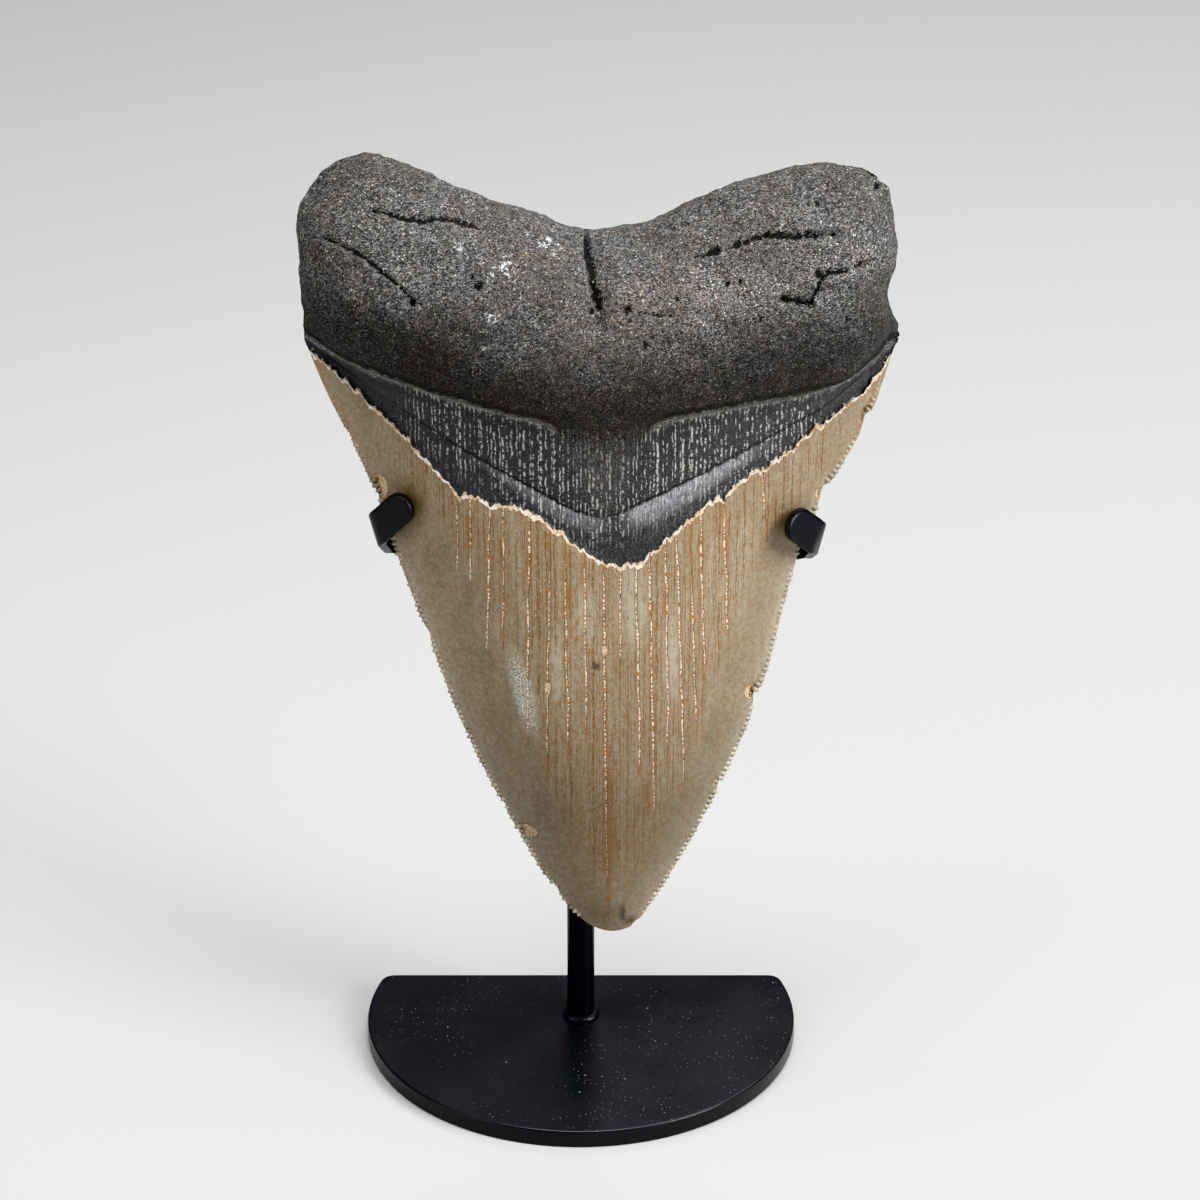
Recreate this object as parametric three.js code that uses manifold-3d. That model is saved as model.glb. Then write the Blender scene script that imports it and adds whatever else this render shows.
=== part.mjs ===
// A fossil megalodon tooth, root up, held by its blade edges on a small black metal display stand.
// Millimetres, +Z up. The front of the display faces -Y. The origin is on the table, under the post.
import * as THREE from "three";
import { mergeVertices } from "three/addons/utils/BufferGeometryUtils.js";
import Module from "manifold-3d";

// Driving dimensions of the stand
const PLATE = { radius: 38, behindPost: 13.5, thickness: 3.2, corner: 2.5, chamfer: 0.3, sides: 72 };
const POST = { radius: 2.4, sink: 2.0, aboveJoint: 3.2, sides: 32 };
const BEAD = { radius: 3.3, height: 0.8 };
const STRIP = { width: 5.4, thickness: 1.6, bend: 1.5, tabSlope: 34, bendSteps: 6, roundSteps: 8 };
const GAP = 0.3;

// Where the tooth's tip is held and how far the tooth leans back. Inside the tooth's frame x is across
// the tooth, z is up from its tip and -y is to the front.
const TIP = new THREE.Vector3(4.6, -17.0, 31.1);
const LEAN = THREE.MathUtils.degToRad(10);

// The holder: where its arms meet behind the tooth, where they pass the cutting edges, the direction of
// their fold lines in degrees, how far the folded tabs reach, and how much a tab's lower edge stands
// forward of its upper one. The twist starts a little before the last fold, about a line in the tab.
const JOINT = new THREE.Vector2(-TIP.x, 62.5);
const ARMS = {
  left: { end: new THREE.Vector2(-37.5, 68.9), fold: 106, tabReach: 8.9, twist: 0 },
  right: { end: new THREE.Vector2(34.5, 67.9), fold: 75, tabReach: 7.6, twist: 0.34 },
};
const ARM_FRONT = -2.9;
const TAB_CORNER = 2.6;
const TWIST = { start: 1.5, pivot: 1.2 };

// Outline of the tooth, as (across, up from the tip)
const BLADE = [
  [-49.8, 104.1], [-46.2, 94.5], [-40.1, 80.8], [-35.7, 68.0], [-30.5, 53.4], [-24.0, 35.7], [-14.8, 17.1],
  [-8.0, 6.0], [-3.4, 1.4], [1.0, 0.0], [4.8, 1.3], [8.3, 6.0], [16.3, 20.1], [22.7, 34.0],
  [27.0, 46.3], [29.9, 58.4], [33.2, 70.5], [38.3, 80.8], [43.5, 90.6], [45.6, 97.3], [47.1, 102.9],
];
const TOP = [
  [-46.1, 133.4], [-39.1, 136.0], [-33.8, 134.8], [-24.6, 131.1], [-13.1, 126.8], [-6.0, 124.2], [-1.2, 123.7],
  [4.5, 124.6], [13.3, 128.2], [24.2, 132.5], [33.7, 134.5], [41.5, 133.4], [45.6, 130.5],
];
const LEFT_SIDE = [[-49.8, 104.1], [-49.7, 110.3], [-50.1, 119.9], [-49.2, 128.5], [-46.1, 133.4]];
const RIGHT_SIDE = [[47.1, 102.9], [48.1, 106.2], [45.7, 112.8], [46.9, 120.9], [45.6, 130.5]];

// Lines that cross the front from side to side: the enamel's broken upper edge, the crease of the dark
// chevron band above it, and the root's overhanging lower edge
const ENAMEL_EDGE = [
  [-49.9, 103.3], [-44.8, 99.3], [-34.8, 90.5], [-25.1, 80.8], [-18.9, 79.4], [-12.1, 77.4], [-3.6, 71.4],
  [0.8, 68.7], [4.5, 69.4], [8.7, 72.2], [17.8, 79.6], [29.2, 86.2], [36.6, 91.7], [43.3, 96.8], [47.1, 102.3],
];
const CREASE = [
  [-49.9, 103.8], [-40.3, 97.7], [-26.5, 89.5], [-14.3, 83.1], [-1.2, 77.2], [6.0, 79.8], [18.4, 85.5],
  [26.6, 89.5], [36.5, 94.3], [47.1, 102.7],
];
const ROOT_EDGE = [
  [-49.9, 105.0], [-45.5, 102.6], [-40.5, 100.5], [-32.1, 98.3], [-22.4, 96.0], [-12.6, 94.0], [-1.2, 92.7],
  [11.8, 94.3], [24.8, 95.9], [31.4, 96.5], [38.1, 97.9], [43.1, 100.5], [47.1, 103.7],
];
// The enamel's upper edge on the back, a shallow arc
const BACK_ENAMEL_EDGE = [
  [-49.9, 103.7], [-34.2, 96.2], [-16.1, 88.6], [0.0, 85.6], [16.1, 88.6], [33.2, 95.7], [47.1, 102.5],
];

// How far forward of the tooth's back plane its rim lies: at the blade, at its corners, round the root
const RIM = { blade: 1.5, corners: 3, root: 9, cornersFrom: 85, cornersTo: 103, rootFrom: 120 };

// Thickness of the crown in front of and behind its cutting edge, by height above the tip
const CROWN_FRONT = [[0, 1.2], [6, 3.4], [15, 5.6], [30, 8.4], [50, 11.2], [70, 13.4], [90, 15.4], [130, 17.0]];
const CROWN_BACK = [[0, 0.6], [10, 1.5], [30, 2.7], [60, 3.5], [130, 4.0]];
const ENAMEL_STEP = 0.6;
const CREASE_DEPTH = 0.7;
const ROOT_STEP = 1.7;
const ROOT_BULGE = { centre: 24, side: 17.5, crest: 0.42, fall: 0.3, rounding: 9.5, backRounding: 7.5 };
const FURROW = { x: -1.6, from: 108, width: 1.6, depth: 1.4 };
const BACK_HOLLOW = { depth: 1.3, width: 15, from: 100, to: 116, rootBehind: 0.9 };

// Serrations of the cutting edges, and the larger chips in them as [across, up, width, depth]
const SERRATION = { pitch: 0.95, height: 0.55, plainTip: 7 };
const CHIPS = [
  [25.6, 41.6, 2.0, 1.0], [37.4, 78.2, 2.6, 1.4], [-29.8, 53.4, 1.8, 0.4],
  [43.6, 89.4, 1.8, 0.9], [-9.0, 7.4, 2.2, 0.9],
];

// Columns run from the cutting edge up to the root's top. Rows follow the lines that cross the tooth.
const COLUMNS = 76;
const FRONT_ROWS = [12, 3, 3, 12];
const BACK_ROWS = [8, 6];
const LEAST_ROW_GAP = 0.02;

const smooth = THREE.MathUtils.smoothstep;
const clamp = THREE.MathUtils.clamp;
const lerp = THREE.MathUtils.lerp;

const wasm = await Module();
wasm.setup();

/** A smooth curve through [x, z] points of an outline. */
function curveThrough(points) {
  return new THREE.CatmullRomCurve3(points.map(([x, z]) => new THREE.Vector3(x, 0, z)), false, "centripetal");
}

/** A function that gives a line's height at x, from points whose x only grows. */
function heightAlong(points, samples = 160) {
  const line = curveThrough(points).getPoints(samples);
  return (x) => {
    const after = line.findIndex((p) => p.x >= x);
    if (after <= 0) return after === 0 ? line[0].z : line.at(-1).z;
    const [a, b] = [line[after - 1], line[after]];
    return lerp(a.z, b.z, (x - a.x) / (b.x - a.x));
  };
}

/** A function that gives the value at a position in a table of [position, value] rows. */
function valueAt(table) {
  return (x) => {
    const after = table.findIndex(([position]) => position >= x);
    if (after <= 0) return after === 0 ? table[0][1] : table.at(-1)[1];
    const [[x0, y0], [x1, y1]] = [table[after - 1], table[after]];
    return lerp(y0, y1, (x - x0) / (x1 - x0));
  };
}

/** A function that gives the distance from (x, z) to a run of points. */
function distanceTo(line) {
  return (x, z) => {
    let nearest = Infinity;
    for (let i = 1; i < line.length; i++) {
      const [a, b] = [line[i - 1], line[i]];
      const [dx, dz] = [b.x - a.x, b.z - a.z];
      const along = clamp(((x - a.x) * dx + (z - a.z) * dz) / (dx * dx + dz * dz), 0, 1);
      nearest = Math.min(nearest, Math.hypot(x - a.x - along * dx, z - a.z - along * dz));
    }
    return nearest;
  };
}

const bladeCurve = curveThrough(BLADE);
const topCurve = curveThrough(TOP);
const leftCurve = curveThrough(LEFT_SIDE);
const rightCurve = curveThrough(RIGHT_SIDE);
const BLADE_STEPS = 240;
const bladeLine = bladeCurve.getSpacedPoints(BLADE_STEPS);
const tipIndex = bladeLine.findIndex((p) => p.z === Math.min(...bladeLine.map((q) => q.z)));
const toBlade = distanceTo(bladeLine);
const toRootOutline = distanceTo([
  ...leftCurve.getSpacedPoints(20),
  ...topCurve.getSpacedPoints(60),
  ...rightCurve.getSpacedPoints(20).reverse(),
]);
const enamelEdge = heightAlong(ENAMEL_EDGE);
const crease = heightAlong(CREASE);
const rootEdge = heightAlong(ROOT_EDGE);
const backEnamelEdge = heightAlong(BACK_ENAMEL_EDGE);
const rootTop = heightAlong(TOP);
const crownFront = valueAt(CROWN_FRONT);
const crownBack = valueAt(CROWN_BACK);
const bladeLeft = valueAt(bladeLine.slice(0, tipIndex + 1).reverse().map((p) => [p.z, p.x]));
const bladeRight = valueAt(bladeLine.slice(tipIndex).map((p) => [p.z, p.x]));

/** How far forward the rim of the tooth lies: thin at the blade, mid-thickness round the root. */
function rimForward(z) {
  const { blade, corners, root, cornersFrom, cornersTo, rootFrom } = RIM;
  return blade
    + (corners - blade) * smooth(z, cornersFrom, cornersTo)
    + (root - corners) * smooth(z, cornersTo, rootFrom);
}

/** 0 on the cutting edge, 1 over the middle of the crown, hollow-ground near the edge. */
function lens(x, z, power) {
  const reach = Math.max(3, 0.44 * (bladeRight(z) - bladeLeft(z)));
  const fromMiddle = 1 - Math.min(1, toBlade(x, z) / reach);
  return (1 - fromMiddle ** 2.2) ** power;
}

/** A quarter-round rise from 0 at the root's outline to 1 at the given distance inside it. */
function quarterRound(x, z, radius) {
  return Math.sqrt(1 - (1 - Math.min(1, toRootOutline(x, z) / radius)) ** 2);
}

function crownForward(x, z) {
  return rimForward(Math.min(z, RIM.cornersTo)) + crownFront(z) * lens(x, z, 1.15);
}

/** The root's front: a bulge from its overhanging lower edge over a crest to the top. */
function rootForward(x, z) {
  const low = rootEdge(x);
  const share = clamp((z - low) / (rootTop(x) - low), 0, 1);
  const foot = crownForward(x, low) + ROOT_STEP;
  const peak = lerp(ROOT_BULGE.centre, ROOT_BULGE.side, (Math.abs(x) / 45) ** 1.5);
  const rise = Math.sin((Math.PI / 2) * Math.min(1, share / ROOT_BULGE.crest)) ** 0.9;
  const fall = ROOT_BULGE.fall * Math.max(0, (share - ROOT_BULGE.crest) / (1 - ROOT_BULGE.crest)) ** 2;
  const furrow = FURROW.depth * Math.exp(-(((x - FURROW.x) / FURROW.width) ** 2))
    * smooth(z, FURROW.from, FURROW.from + 3);
  return (foot + (peak - foot) * rise) * (1 - fall) - furrow;
}

/** The front surface, forward of the tooth's back plane. */
function frontForward(x, z) {
  const softness = 0.5 + 5 * Math.exp(-((x / 9) ** 2));
  const onRoot = smooth(z - rootEdge(x), -softness, softness + 0.4);
  const bare = smooth(z - enamelEdge(x), -0.1, 0.5);
  const inCrease = Math.exp(-(((z - crease(x)) / 1.3) ** 2));
  const step = bare * ENAMEL_STEP * (1 + inCrease * CREASE_DEPTH) * Math.min(1, toBlade(x, z) / 3);
  const rim = rimForward(z);
  const rounding = lerp(1, quarterRound(x, z, ROOT_BULGE.rounding), onRoot);
  return rim + (lerp(crownForward(x, z) - step, rootForward(x, z), onRoot) - rim) * rounding;
}

/** The back surface: a gently convex crown under a flat root with a shallow hollow. */
function backForward(x, z) {
  const rim = rimForward(z);
  const onRoot = smooth(z - backEnamelEdge(x), -0.5, 3);
  const crown = rim - crownBack(z) * lens(x, z, 1.1);
  const { depth, width, from, to, rootBehind } = BACK_HOLLOW;
  const hollow = depth * Math.exp(-((x / width) ** 2)) * smooth(z, from, to);
  const root = rim - (rim + rootBehind - hollow) * quarterRound(x, z, ROOT_BULGE.backRounding);
  return lerp(crown, root, onRoot);
}

/** A point of the outline's patch: s from the left side to the right, t from the blade to the top. */
function patchPoint(s, t) {
  const [low, high] = [bladeCurve.getPointAt(s), topCurve.getPointAt(s)];
  const [left, right] = [leftCurve.getPointAt(t), rightCurve.getPointAt(t)];
  const [lowLeft, lowRight] = [leftCurve.points[0], rightCurve.points[0]];
  const [highLeft, highRight] = [leftCurve.points.at(-1), rightCurve.points.at(-1)];
  const mix = (axis) => lerp(low[axis], high[axis], t) + lerp(left[axis], right[axis], s)
    - lerp(lerp(lowLeft[axis], lowRight[axis], s), lerp(highLeft[axis], highRight[axis], s), t);
  return [mix("x"), mix("z")];
}

/** Where along a column it crosses a line: t from 0 to 1, found by halving. */
function crossing(s, height) {
  let [below, above] = [0, 1];
  for (let i = 0; i < 24; i++) {
    const t = (below + above) / 2;
    const [x, z] = patchPoint(s, t);
    if (z < height(x)) below = t;
    else above = t;
  }
  return below;
}

/** The t values of one column's rows: even between the lines, closer together towards the top. */
function rowsOf(s, lines, counts) {
  const stops = [0];
  for (const line of lines) stops.push(Math.max(crossing(s, line), stops.at(-1) + LEAST_ROW_GAP));
  const rows = [0];
  counts.forEach((count, band) => {
    for (let k = 1; k <= count; k++) {
      const last = band === counts.length - 1;
      const share = last ? 1 - (1 - k / count) ** 1.7 : k / count;
      rows.push(lerp(stops[band], last ? 1 : stops[band + 1], share));
    }
  });
  return rows;
}

/** The cutting edge itself, with its serrations and chips, as (x, z) points from left to right. */
function serratedEdge() {
  const length = bladeCurve.getLength();
  const steps = 2 * Math.round(length / SERRATION.pitch);
  return Array.from({ length: steps + 1 }, (_, i) => {
    const at = i / steps;
    const point = bladeCurve.getPointAt(at);
    const tangent = bladeCurve.getTangentAt(at);
    const inward = new THREE.Vector3(-tangent.z, 0, tangent.x);
    const fromTip = Math.abs(at - tipIndex / BLADE_STEPS) * length;
    const fromEnd = Math.min(at, 1 - at) * length;
    const strength = smooth(fromTip, SERRATION.plainTip, 2 * SERRATION.plainTip) * smooth(fromEnd, 0, 4);
    let depth = i % 2 ? SERRATION.height * strength : 0;
    for (const [x, z, width, chip] of CHIPS)
      depth += chip * Math.exp(-((Math.hypot(point.x - x, point.z - z) / width) ** 2));
    return point.addScaledVector(inward, depth);
  });
}

/** Evenly spaced columns, closer together at both sides, where the root's edges are rounded. */
function columnShares() {
  return Array.from({ length: COLUMNS + 1 }, (_, i) => {
    const even = i / COLUMNS;
    return even - (0.6 * Math.sin(2 * Math.PI * even)) / (2 * Math.PI);
  });
}

/** Triangles between two rows of vertices that run the same way, across the shorter diagonals. */
function stitch(positions, low, high, triangle) {
  const point = (i) => new THREE.Vector3().fromArray(positions, 3 * i);
  const apart = (a, b) => point(a).distanceTo(point(b));
  let [i, j] = [0, 0];
  while (i < low.length - 1 || j < high.length - 1) {
    const lowIsLeft = i < low.length - 1;
    const highIsLeft = j < high.length - 1;
    const stepLow = !highIsLeft || (lowIsLeft && apart(low[i + 1], high[j]) <= apart(low[i], high[j + 1]));
    if (stepLow) triangle(low[i], low[i + 1], high[j]);
    else triangle(low[i], high[j + 1], high[j]);
    if (stepLow) i++;
    else j++;
  }
}

/** Triangles between the points of a grid of columns. */
function fill(grid, triangle) {
  for (let column = 0; column < grid.length - 1; column++)
    for (let row = 0; row < grid[0].length - 1; row++) {
      const [a, b] = [grid[column][row], grid[column + 1][row]];
      const [c, d] = [grid[column + 1][row + 1], grid[column][row + 1]];
      triangle(a, b, c);
      triangle(a, c, d);
    }
}

/** The whole tooth as one closed mesh: a front and a back that share one rim. */
function toothGeometry() {
  const positions = [];
  const triangles = [];
  const add = (x, z, forward) => positions.push(x, -forward, z) / 3 - 1;
  const facing = (a, b, c) => triangles.push(a, b, c);
  const away = (a, b, c) => triangles.push(a, c, b);
  const shares = columnShares();
  const edge = serratedEdge().map((p) => add(p.x, p.z, rimForward(p.z)));

  const frontLines = [enamelEdge, crease, rootEdge];
  const front = shares.map((s, column) => rowsOf(s, frontLines, FRONT_ROWS).slice(1).map((t) => {
    const [x, z] = patchPoint(s, t);
    const onRim = column === 0 || column === COLUMNS || t === 1;
    return add(x, z, onRim ? rimForward(z) : frontForward(x, z));
  }));
  stitch(positions, edge, front.map((column) => column[0]), facing);
  fill(front, facing);

  const back = shares.map((s, column) => rowsOf(s, [backEnamelEdge], BACK_ROWS).slice(1).map((t) => {
    const [x, z] = patchPoint(s, t);
    return t === 1 ? front[column].at(-1) : add(x, z, backForward(x, z));
  })).slice(1, -1);
  stitch(positions, edge, back.map((column) => column[0]), away);
  fill(back, away);
  // The sides of the back reach the front's own rim.
  stitch(positions, back[0], [edge[0], ...front[0]], away);
  stitch(positions, back.at(-1), [edge.at(-1), ...front.at(-1)], facing);
  return meshOf(positions, triangles);
}

/** A geometry of the vertices that the triangles use. */
function meshOf(positions, triangles) {
  const geometry = new THREE.BufferGeometry();
  geometry.setAttribute("position", new THREE.Float32BufferAttribute(positions, 3));
  geometry.setIndex(triangles);
  return geometry;
}

/** A geometry as a solid for cutting and joining. */
function solidOf(geometry) {
  const bare = geometry.clone();
  for (const name of Object.keys(bare.attributes)) if (name !== "position") bare.deleteAttribute(name);
  const merged = mergeVertices(bare, 1e-4);
  return new wasm.Manifold(new wasm.Mesh({
    numProp: 3,
    vertProperties: merged.attributes.position.array,
    triVerts: new Uint32Array(merged.index.array),
  }));
}

/** A solid's surface as a geometry. */
function geometryOf(solid) {
  const mesh = solid.getMesh();
  const geometry = new THREE.BufferGeometry();
  geometry.setAttribute("position", new THREE.BufferAttribute(mesh.vertProperties.slice(), 3));
  geometry.setIndex(new THREE.BufferAttribute(mesh.triVerts.slice(), 1));
  return geometry;
}

/** Points of an arc, without its last one. */
function arc(x, y, radius, from, to, steps) {
  return Array.from({ length: steps }, (_, i) => {
    const angle = lerp(from, to, i / steps);
    return new THREE.Vector2(x + radius * Math.cos(angle), y + radius * Math.sin(angle));
  });
}

/** The plate: a disc cut straight behind the post, with a blind hole for the post's foot. */
function plateGeometry() {
  const { radius, behindPost, thickness, corner, chamfer, sides } = PLATE;
  const r = radius - chamfer;
  const back = behindPost - chamfer;
  const round = Math.asin((back - corner) / (r - corner));
  const x = (r - corner) * Math.cos(round);
  const shape = new THREE.Shape([
    ...arc(0, 0, r, Math.PI - round, 2 * Math.PI + round, sides),
    ...arc(x, back - corner, corner, round, Math.PI / 2, 7),
    ...arc(-x, back - corner, corner, Math.PI / 2, Math.PI - round, 7),
  ]);
  const plate = new THREE.ExtrudeGeometry(shape, {
    depth: thickness - 2 * chamfer,
    bevelThickness: chamfer,
    bevelSize: chamfer,
    bevelSegments: 1,
  }).translate(0, 0, chamfer);
  const holeFloor = thickness - POST.sink - GAP;
  const hole = new THREE.CylinderGeometry(POST.radius + GAP, POST.radius + GAP, 2 * POST.sink, POST.sides)
    .rotateX(Math.PI / 2)
    .translate(0, 0, holeFloor + POST.sink);
  return geometryOf(solidOf(plate).subtract(solidOf(hole)));
}

/** Moves a geometry from the tooth's frame into the stand's. */
function intoStand(geometry) {
  return geometry.rotateX(-LEAN).translate(TIP.x, TIP.y, TIP.z);
}

/** The post: its foot in the plate, a low bead of weld round it, its top ground flat behind the holder. */
function postGeometry() {
  const foot = PLATE.thickness - POST.sink;
  const jointHeight = TIP.z + JOINT.y * Math.cos(LEAN);
  const height = jointHeight + POST.aboveJoint - foot;
  const rod = new THREE.CylinderGeometry(POST.radius, POST.radius, height, POST.sides)
    .rotateX(Math.PI / 2)
    .translate(0, 0, foot + height / 2);
  const low = PLATE.thickness + GAP;
  const bead = new THREE.LatheGeometry([
    new THREE.Vector2(0, low),
    new THREE.Vector2(BEAD.radius, low),
    new THREE.Vector2(BEAD.radius - 0.5, low + 0.45 * BEAD.height),
    new THREE.Vector2(POST.radius + 0.15, low + BEAD.height),
    new THREE.Vector2(0, low + BEAD.height),
  ], POST.sides).rotateX(Math.PI / 2);
  const flat = -(ARM_FRONT - STRIP.thickness - GAP);
  const inFront = intoStand(new THREE.BoxGeometry(60, 60, 60).translate(JOINT.x, flat - 30, JOINT.y));
  return geometryOf(solidOf(rod).add(solidOf(bead)).subtract(solidOf(inFront)));
}

/** An arm's side profile: the outward and forward place of its middle, by the distance run along it. */
function armProfile(outer, run) {
  const { thickness, bend, tabSlope, bendSteps } = STRIP;
  const slope = THREE.MathUtils.degToRad(tabSlope);
  const back = new THREE.Vector2(0, ARM_FRONT - thickness / 2);
  const low = new THREE.Vector2(outer, back.y);
  const high = new THREE.Vector2(outer, TAB_CORNER + thickness / 2);
  const tip = new THREE.Vector2(-Math.cos(slope), Math.sin(slope)).multiplyScalar(run).add(high);
  const path = [back];
  for (const [before, corner, after] of [[back, low, high], [low, high, tip]]) {
    const into = before.clone().sub(corner).setLength(bend).add(corner);
    const out = after.clone().sub(corner).setLength(bend).add(corner);
    path.push(...new THREE.QuadraticBezierCurve(into, corner, out).getPoints(bendSteps));
  }
  path.push(tip);
  const lengths = [0];
  for (let i = 1; i < path.length; i++) lengths.push(lengths.at(-1) + path[i].distanceTo(path[i - 1]));
  return { path, lengths };
}

/** A flat strip with round ends, laid off obliquely over the fold lines: where it lies at a distance run. */
function stripEdges(run, length, skew) {
  const half = STRIP.width / 2;
  const side = (sign) => {
    const along = (run + sign * half * Math.sin(skew)) / Math.cos(skew);
    if (along >= 0 && along <= length) return run * Math.tan(skew) + (sign * half) / Math.cos(skew);
    const centre = along < 0 ? 0 : length;
    const over = run - centre * Math.cos(skew);
    return centre * Math.sin(skew) + sign * Math.sqrt(Math.max(0, half ** 2 - over ** 2));
  };
  return [side(-1), side(1)];
}

/** The distances run at which an arm gets a ring of points: at its bends and round both ends. */
function armStations(lengths, reach) {
  const half = STRIP.width / 2;
  const rounds = Array.from({ length: STRIP.roundSteps }, (_, k) => {
    const past = half * Math.cos((Math.PI * (k + 0.4)) / STRIP.roundSteps);
    return [-past, reach + past];
  }).flat();
  const apart = 0.05;
  return [...lengths.slice(1, -1), ...rounds]
    .sort((a, b) => a - b)
    .filter((at, i, all) => i === 0 || at - all[i - 1] > apart);
}

/** The middle of a profile at a distance run along it, and half the strip's thickness across it there. */
function onProfile({ path, lengths }, run) {
  const after = clamp(lengths.findIndex((length) => length > run), 1, lengths.length - 1);
  const share = (run - lengths[after - 1]) / (lengths[after] - lengths[after - 1]);
  const atCorner = share < 0.001 && after > 1;
  const [before, next] = [path[atCorner ? after - 2 : after - 1], path[after]];
  return {
    middle: path[after - 1].clone().lerp(path[after], share),
    across: new THREE.Vector2(before.y - next.y, next.x - before.x).setLength(STRIP.thickness / 2),
  };
}

/** One arm: a flat strip from behind the tooth to its cutting edge, bent forward and over it. */
function armGeometry({ end, fold, tabReach, twist }) {
  const angle = THREE.MathUtils.degToRad(fold);
  const foldLine = new THREE.Vector2(Math.cos(angle), Math.sin(angle));
  const way = end.clone().sub(JOINT);
  const outward = new THREE.Vector2(foldLine.y, -foldLine.x).multiplyScalar(Math.sign(way.x));
  const outer = way.dot(outward);
  const skew = Math.atan2(way.dot(foldLine), outer);
  const profile = armProfile(outer, tabReach);
  const reach = profile.lengths.at(-1) - STRIP.width / 2;
  const folded = profile.lengths[2 * STRIP.bendSteps + 2];
  const positions = [];
  for (const run of armStations(profile.lengths, reach)) {
    const { middle, across } = onProfile(profile, run);
    const [low, high] = stripEdges(run, reach / Math.cos(skew), skew);
    const lean = twist * smooth(run, folded - TWIST.start, folded);
    for (const [along, layer] of [[low, -1], [high, -1], [high, 1], [low, 1]]) {
      const out = middle.x + layer * across.x;
      const forward = middle.y + layer * across.y + lean * (run * Math.tan(skew) + TWIST.pivot - along);
      positions.push(
        JOINT.x + outward.x * out + foldLine.x * along,
        -forward,
        JOINT.y + outward.y * out + foldLine.y * along,
      );
    }
  }
  return ringsMesh(positions, way.x < 0);
}

/** A closed mesh from rings of four points, one after the other. */
function ringsMesh(positions, flip) {
  const triangles = [];
  const quad = (a, b, c, d) => triangles.push(...(flip ? [a, c, b, a, d, c] : [a, b, c, a, c, d]));
  const last = positions.length / 3 - 4;
  for (let ring = 0; ring < last; ring += 4)
    for (let k = 0; k < 4; k++) quad(ring + k, ring + ((k + 1) % 4), ring + 4 + ((k + 1) % 4), ring + 4 + k);
  quad(3, 2, 1, 0);
  quad(last, last + 1, last + 2, last + 3);
  return meshOf(positions, triangles);
}

/** Both arms, one piece where they meet. */
function bracketGeometry() {
  return geometryOf(solidOf(armGeometry(ARMS.left)).add(solidOf(armGeometry(ARMS.right))));
}

/** A named mesh with its own material. */
function piece(name, geometry, color, roughness, metalness) {
  const shaded = geometry.toNonIndexed();
  shaded.computeVertexNormals();
  const mesh = new THREE.Mesh(shaded, new THREE.MeshStandardMaterial({ color, roughness, metalness }));
  mesh.name = name;
  return mesh;
}

const held = new THREE.Group();
held.position.copy(TIP);
held.rotation.x = -LEAN;
held.add(
  piece("tooth", toothGeometry(), 0x8c806a, 0.55, 0),
  piece("bracket", bracketGeometry(), 0x141519, 0.35, 0.3),
);

const display = new THREE.Group();
display.add(
  piece("base_plate", plateGeometry(), 0x141519, 0.4, 0.3),
  piece("post", postGeometry(), 0x141519, 0.35, 0.3),
  held,
);

export default display;
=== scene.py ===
"""A fossil megalodon tooth, root up, on its small black display stand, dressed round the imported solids.

Every object is in metres, +Z up, in the frame of the solids. Sizes in the classes are in millimetres. The
tooth's own frame has its origin at the tip: x across the tooth, y forward to its bulging face, z up.
"""

import logging
import math
from dataclasses import dataclass, field
from enum import Enum
from typing import Sequence, Union

import bmesh
import bpy
import numpy as np
from mathutils import Matrix, Vector, noise


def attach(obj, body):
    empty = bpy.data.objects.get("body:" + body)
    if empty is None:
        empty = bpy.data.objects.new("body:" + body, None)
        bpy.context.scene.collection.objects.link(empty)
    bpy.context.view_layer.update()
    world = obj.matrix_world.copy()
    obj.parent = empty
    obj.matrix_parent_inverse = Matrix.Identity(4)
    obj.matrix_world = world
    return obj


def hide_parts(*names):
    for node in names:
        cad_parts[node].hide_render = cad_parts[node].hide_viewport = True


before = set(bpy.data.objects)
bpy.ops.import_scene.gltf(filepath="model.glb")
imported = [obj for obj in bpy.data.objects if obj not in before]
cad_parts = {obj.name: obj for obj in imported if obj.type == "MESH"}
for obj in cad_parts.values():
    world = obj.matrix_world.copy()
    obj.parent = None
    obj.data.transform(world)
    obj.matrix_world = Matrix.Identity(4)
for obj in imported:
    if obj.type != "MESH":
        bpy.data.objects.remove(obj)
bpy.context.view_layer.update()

log = logging.getLogger("tooth")
MM = 0.001
BODY = "root"
# A face with this many sides is a flat end, and an edge that turns more than this angle is a sharp one
MANY_SIDES = 12
SHARP_ANGLE = 0.5
# The value of a mark's field where the mark is far away
NO_MARK = -3.0

Array = np.ndarray
Points = Sequence[tuple[float, ...]]
Colour = tuple[float, float, float]
Socket = bpy.types.NodeSocket
Value = Union[float, Socket]


class Side(Enum):
    """The two faces of the tooth."""

    FRONT = 1
    BACK = -1


def smooth(value: Array, low: float, high: float) -> Array:
    """A soft step from 0 to 1.

    Args:
        value: The numbers to step.
        low: Where the step starts.
        high: Where the step ends.

    Returns:
        The stepped numbers.
    """
    share = np.clip((value - low) / (high - low), 0, 1)
    return share * share * (3 - 2 * share)


def mix(a: Array, b: Array, share: Array) -> Array:
    """The value that lies a share of the way from a to b."""
    return a + (b - a) * share


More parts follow.
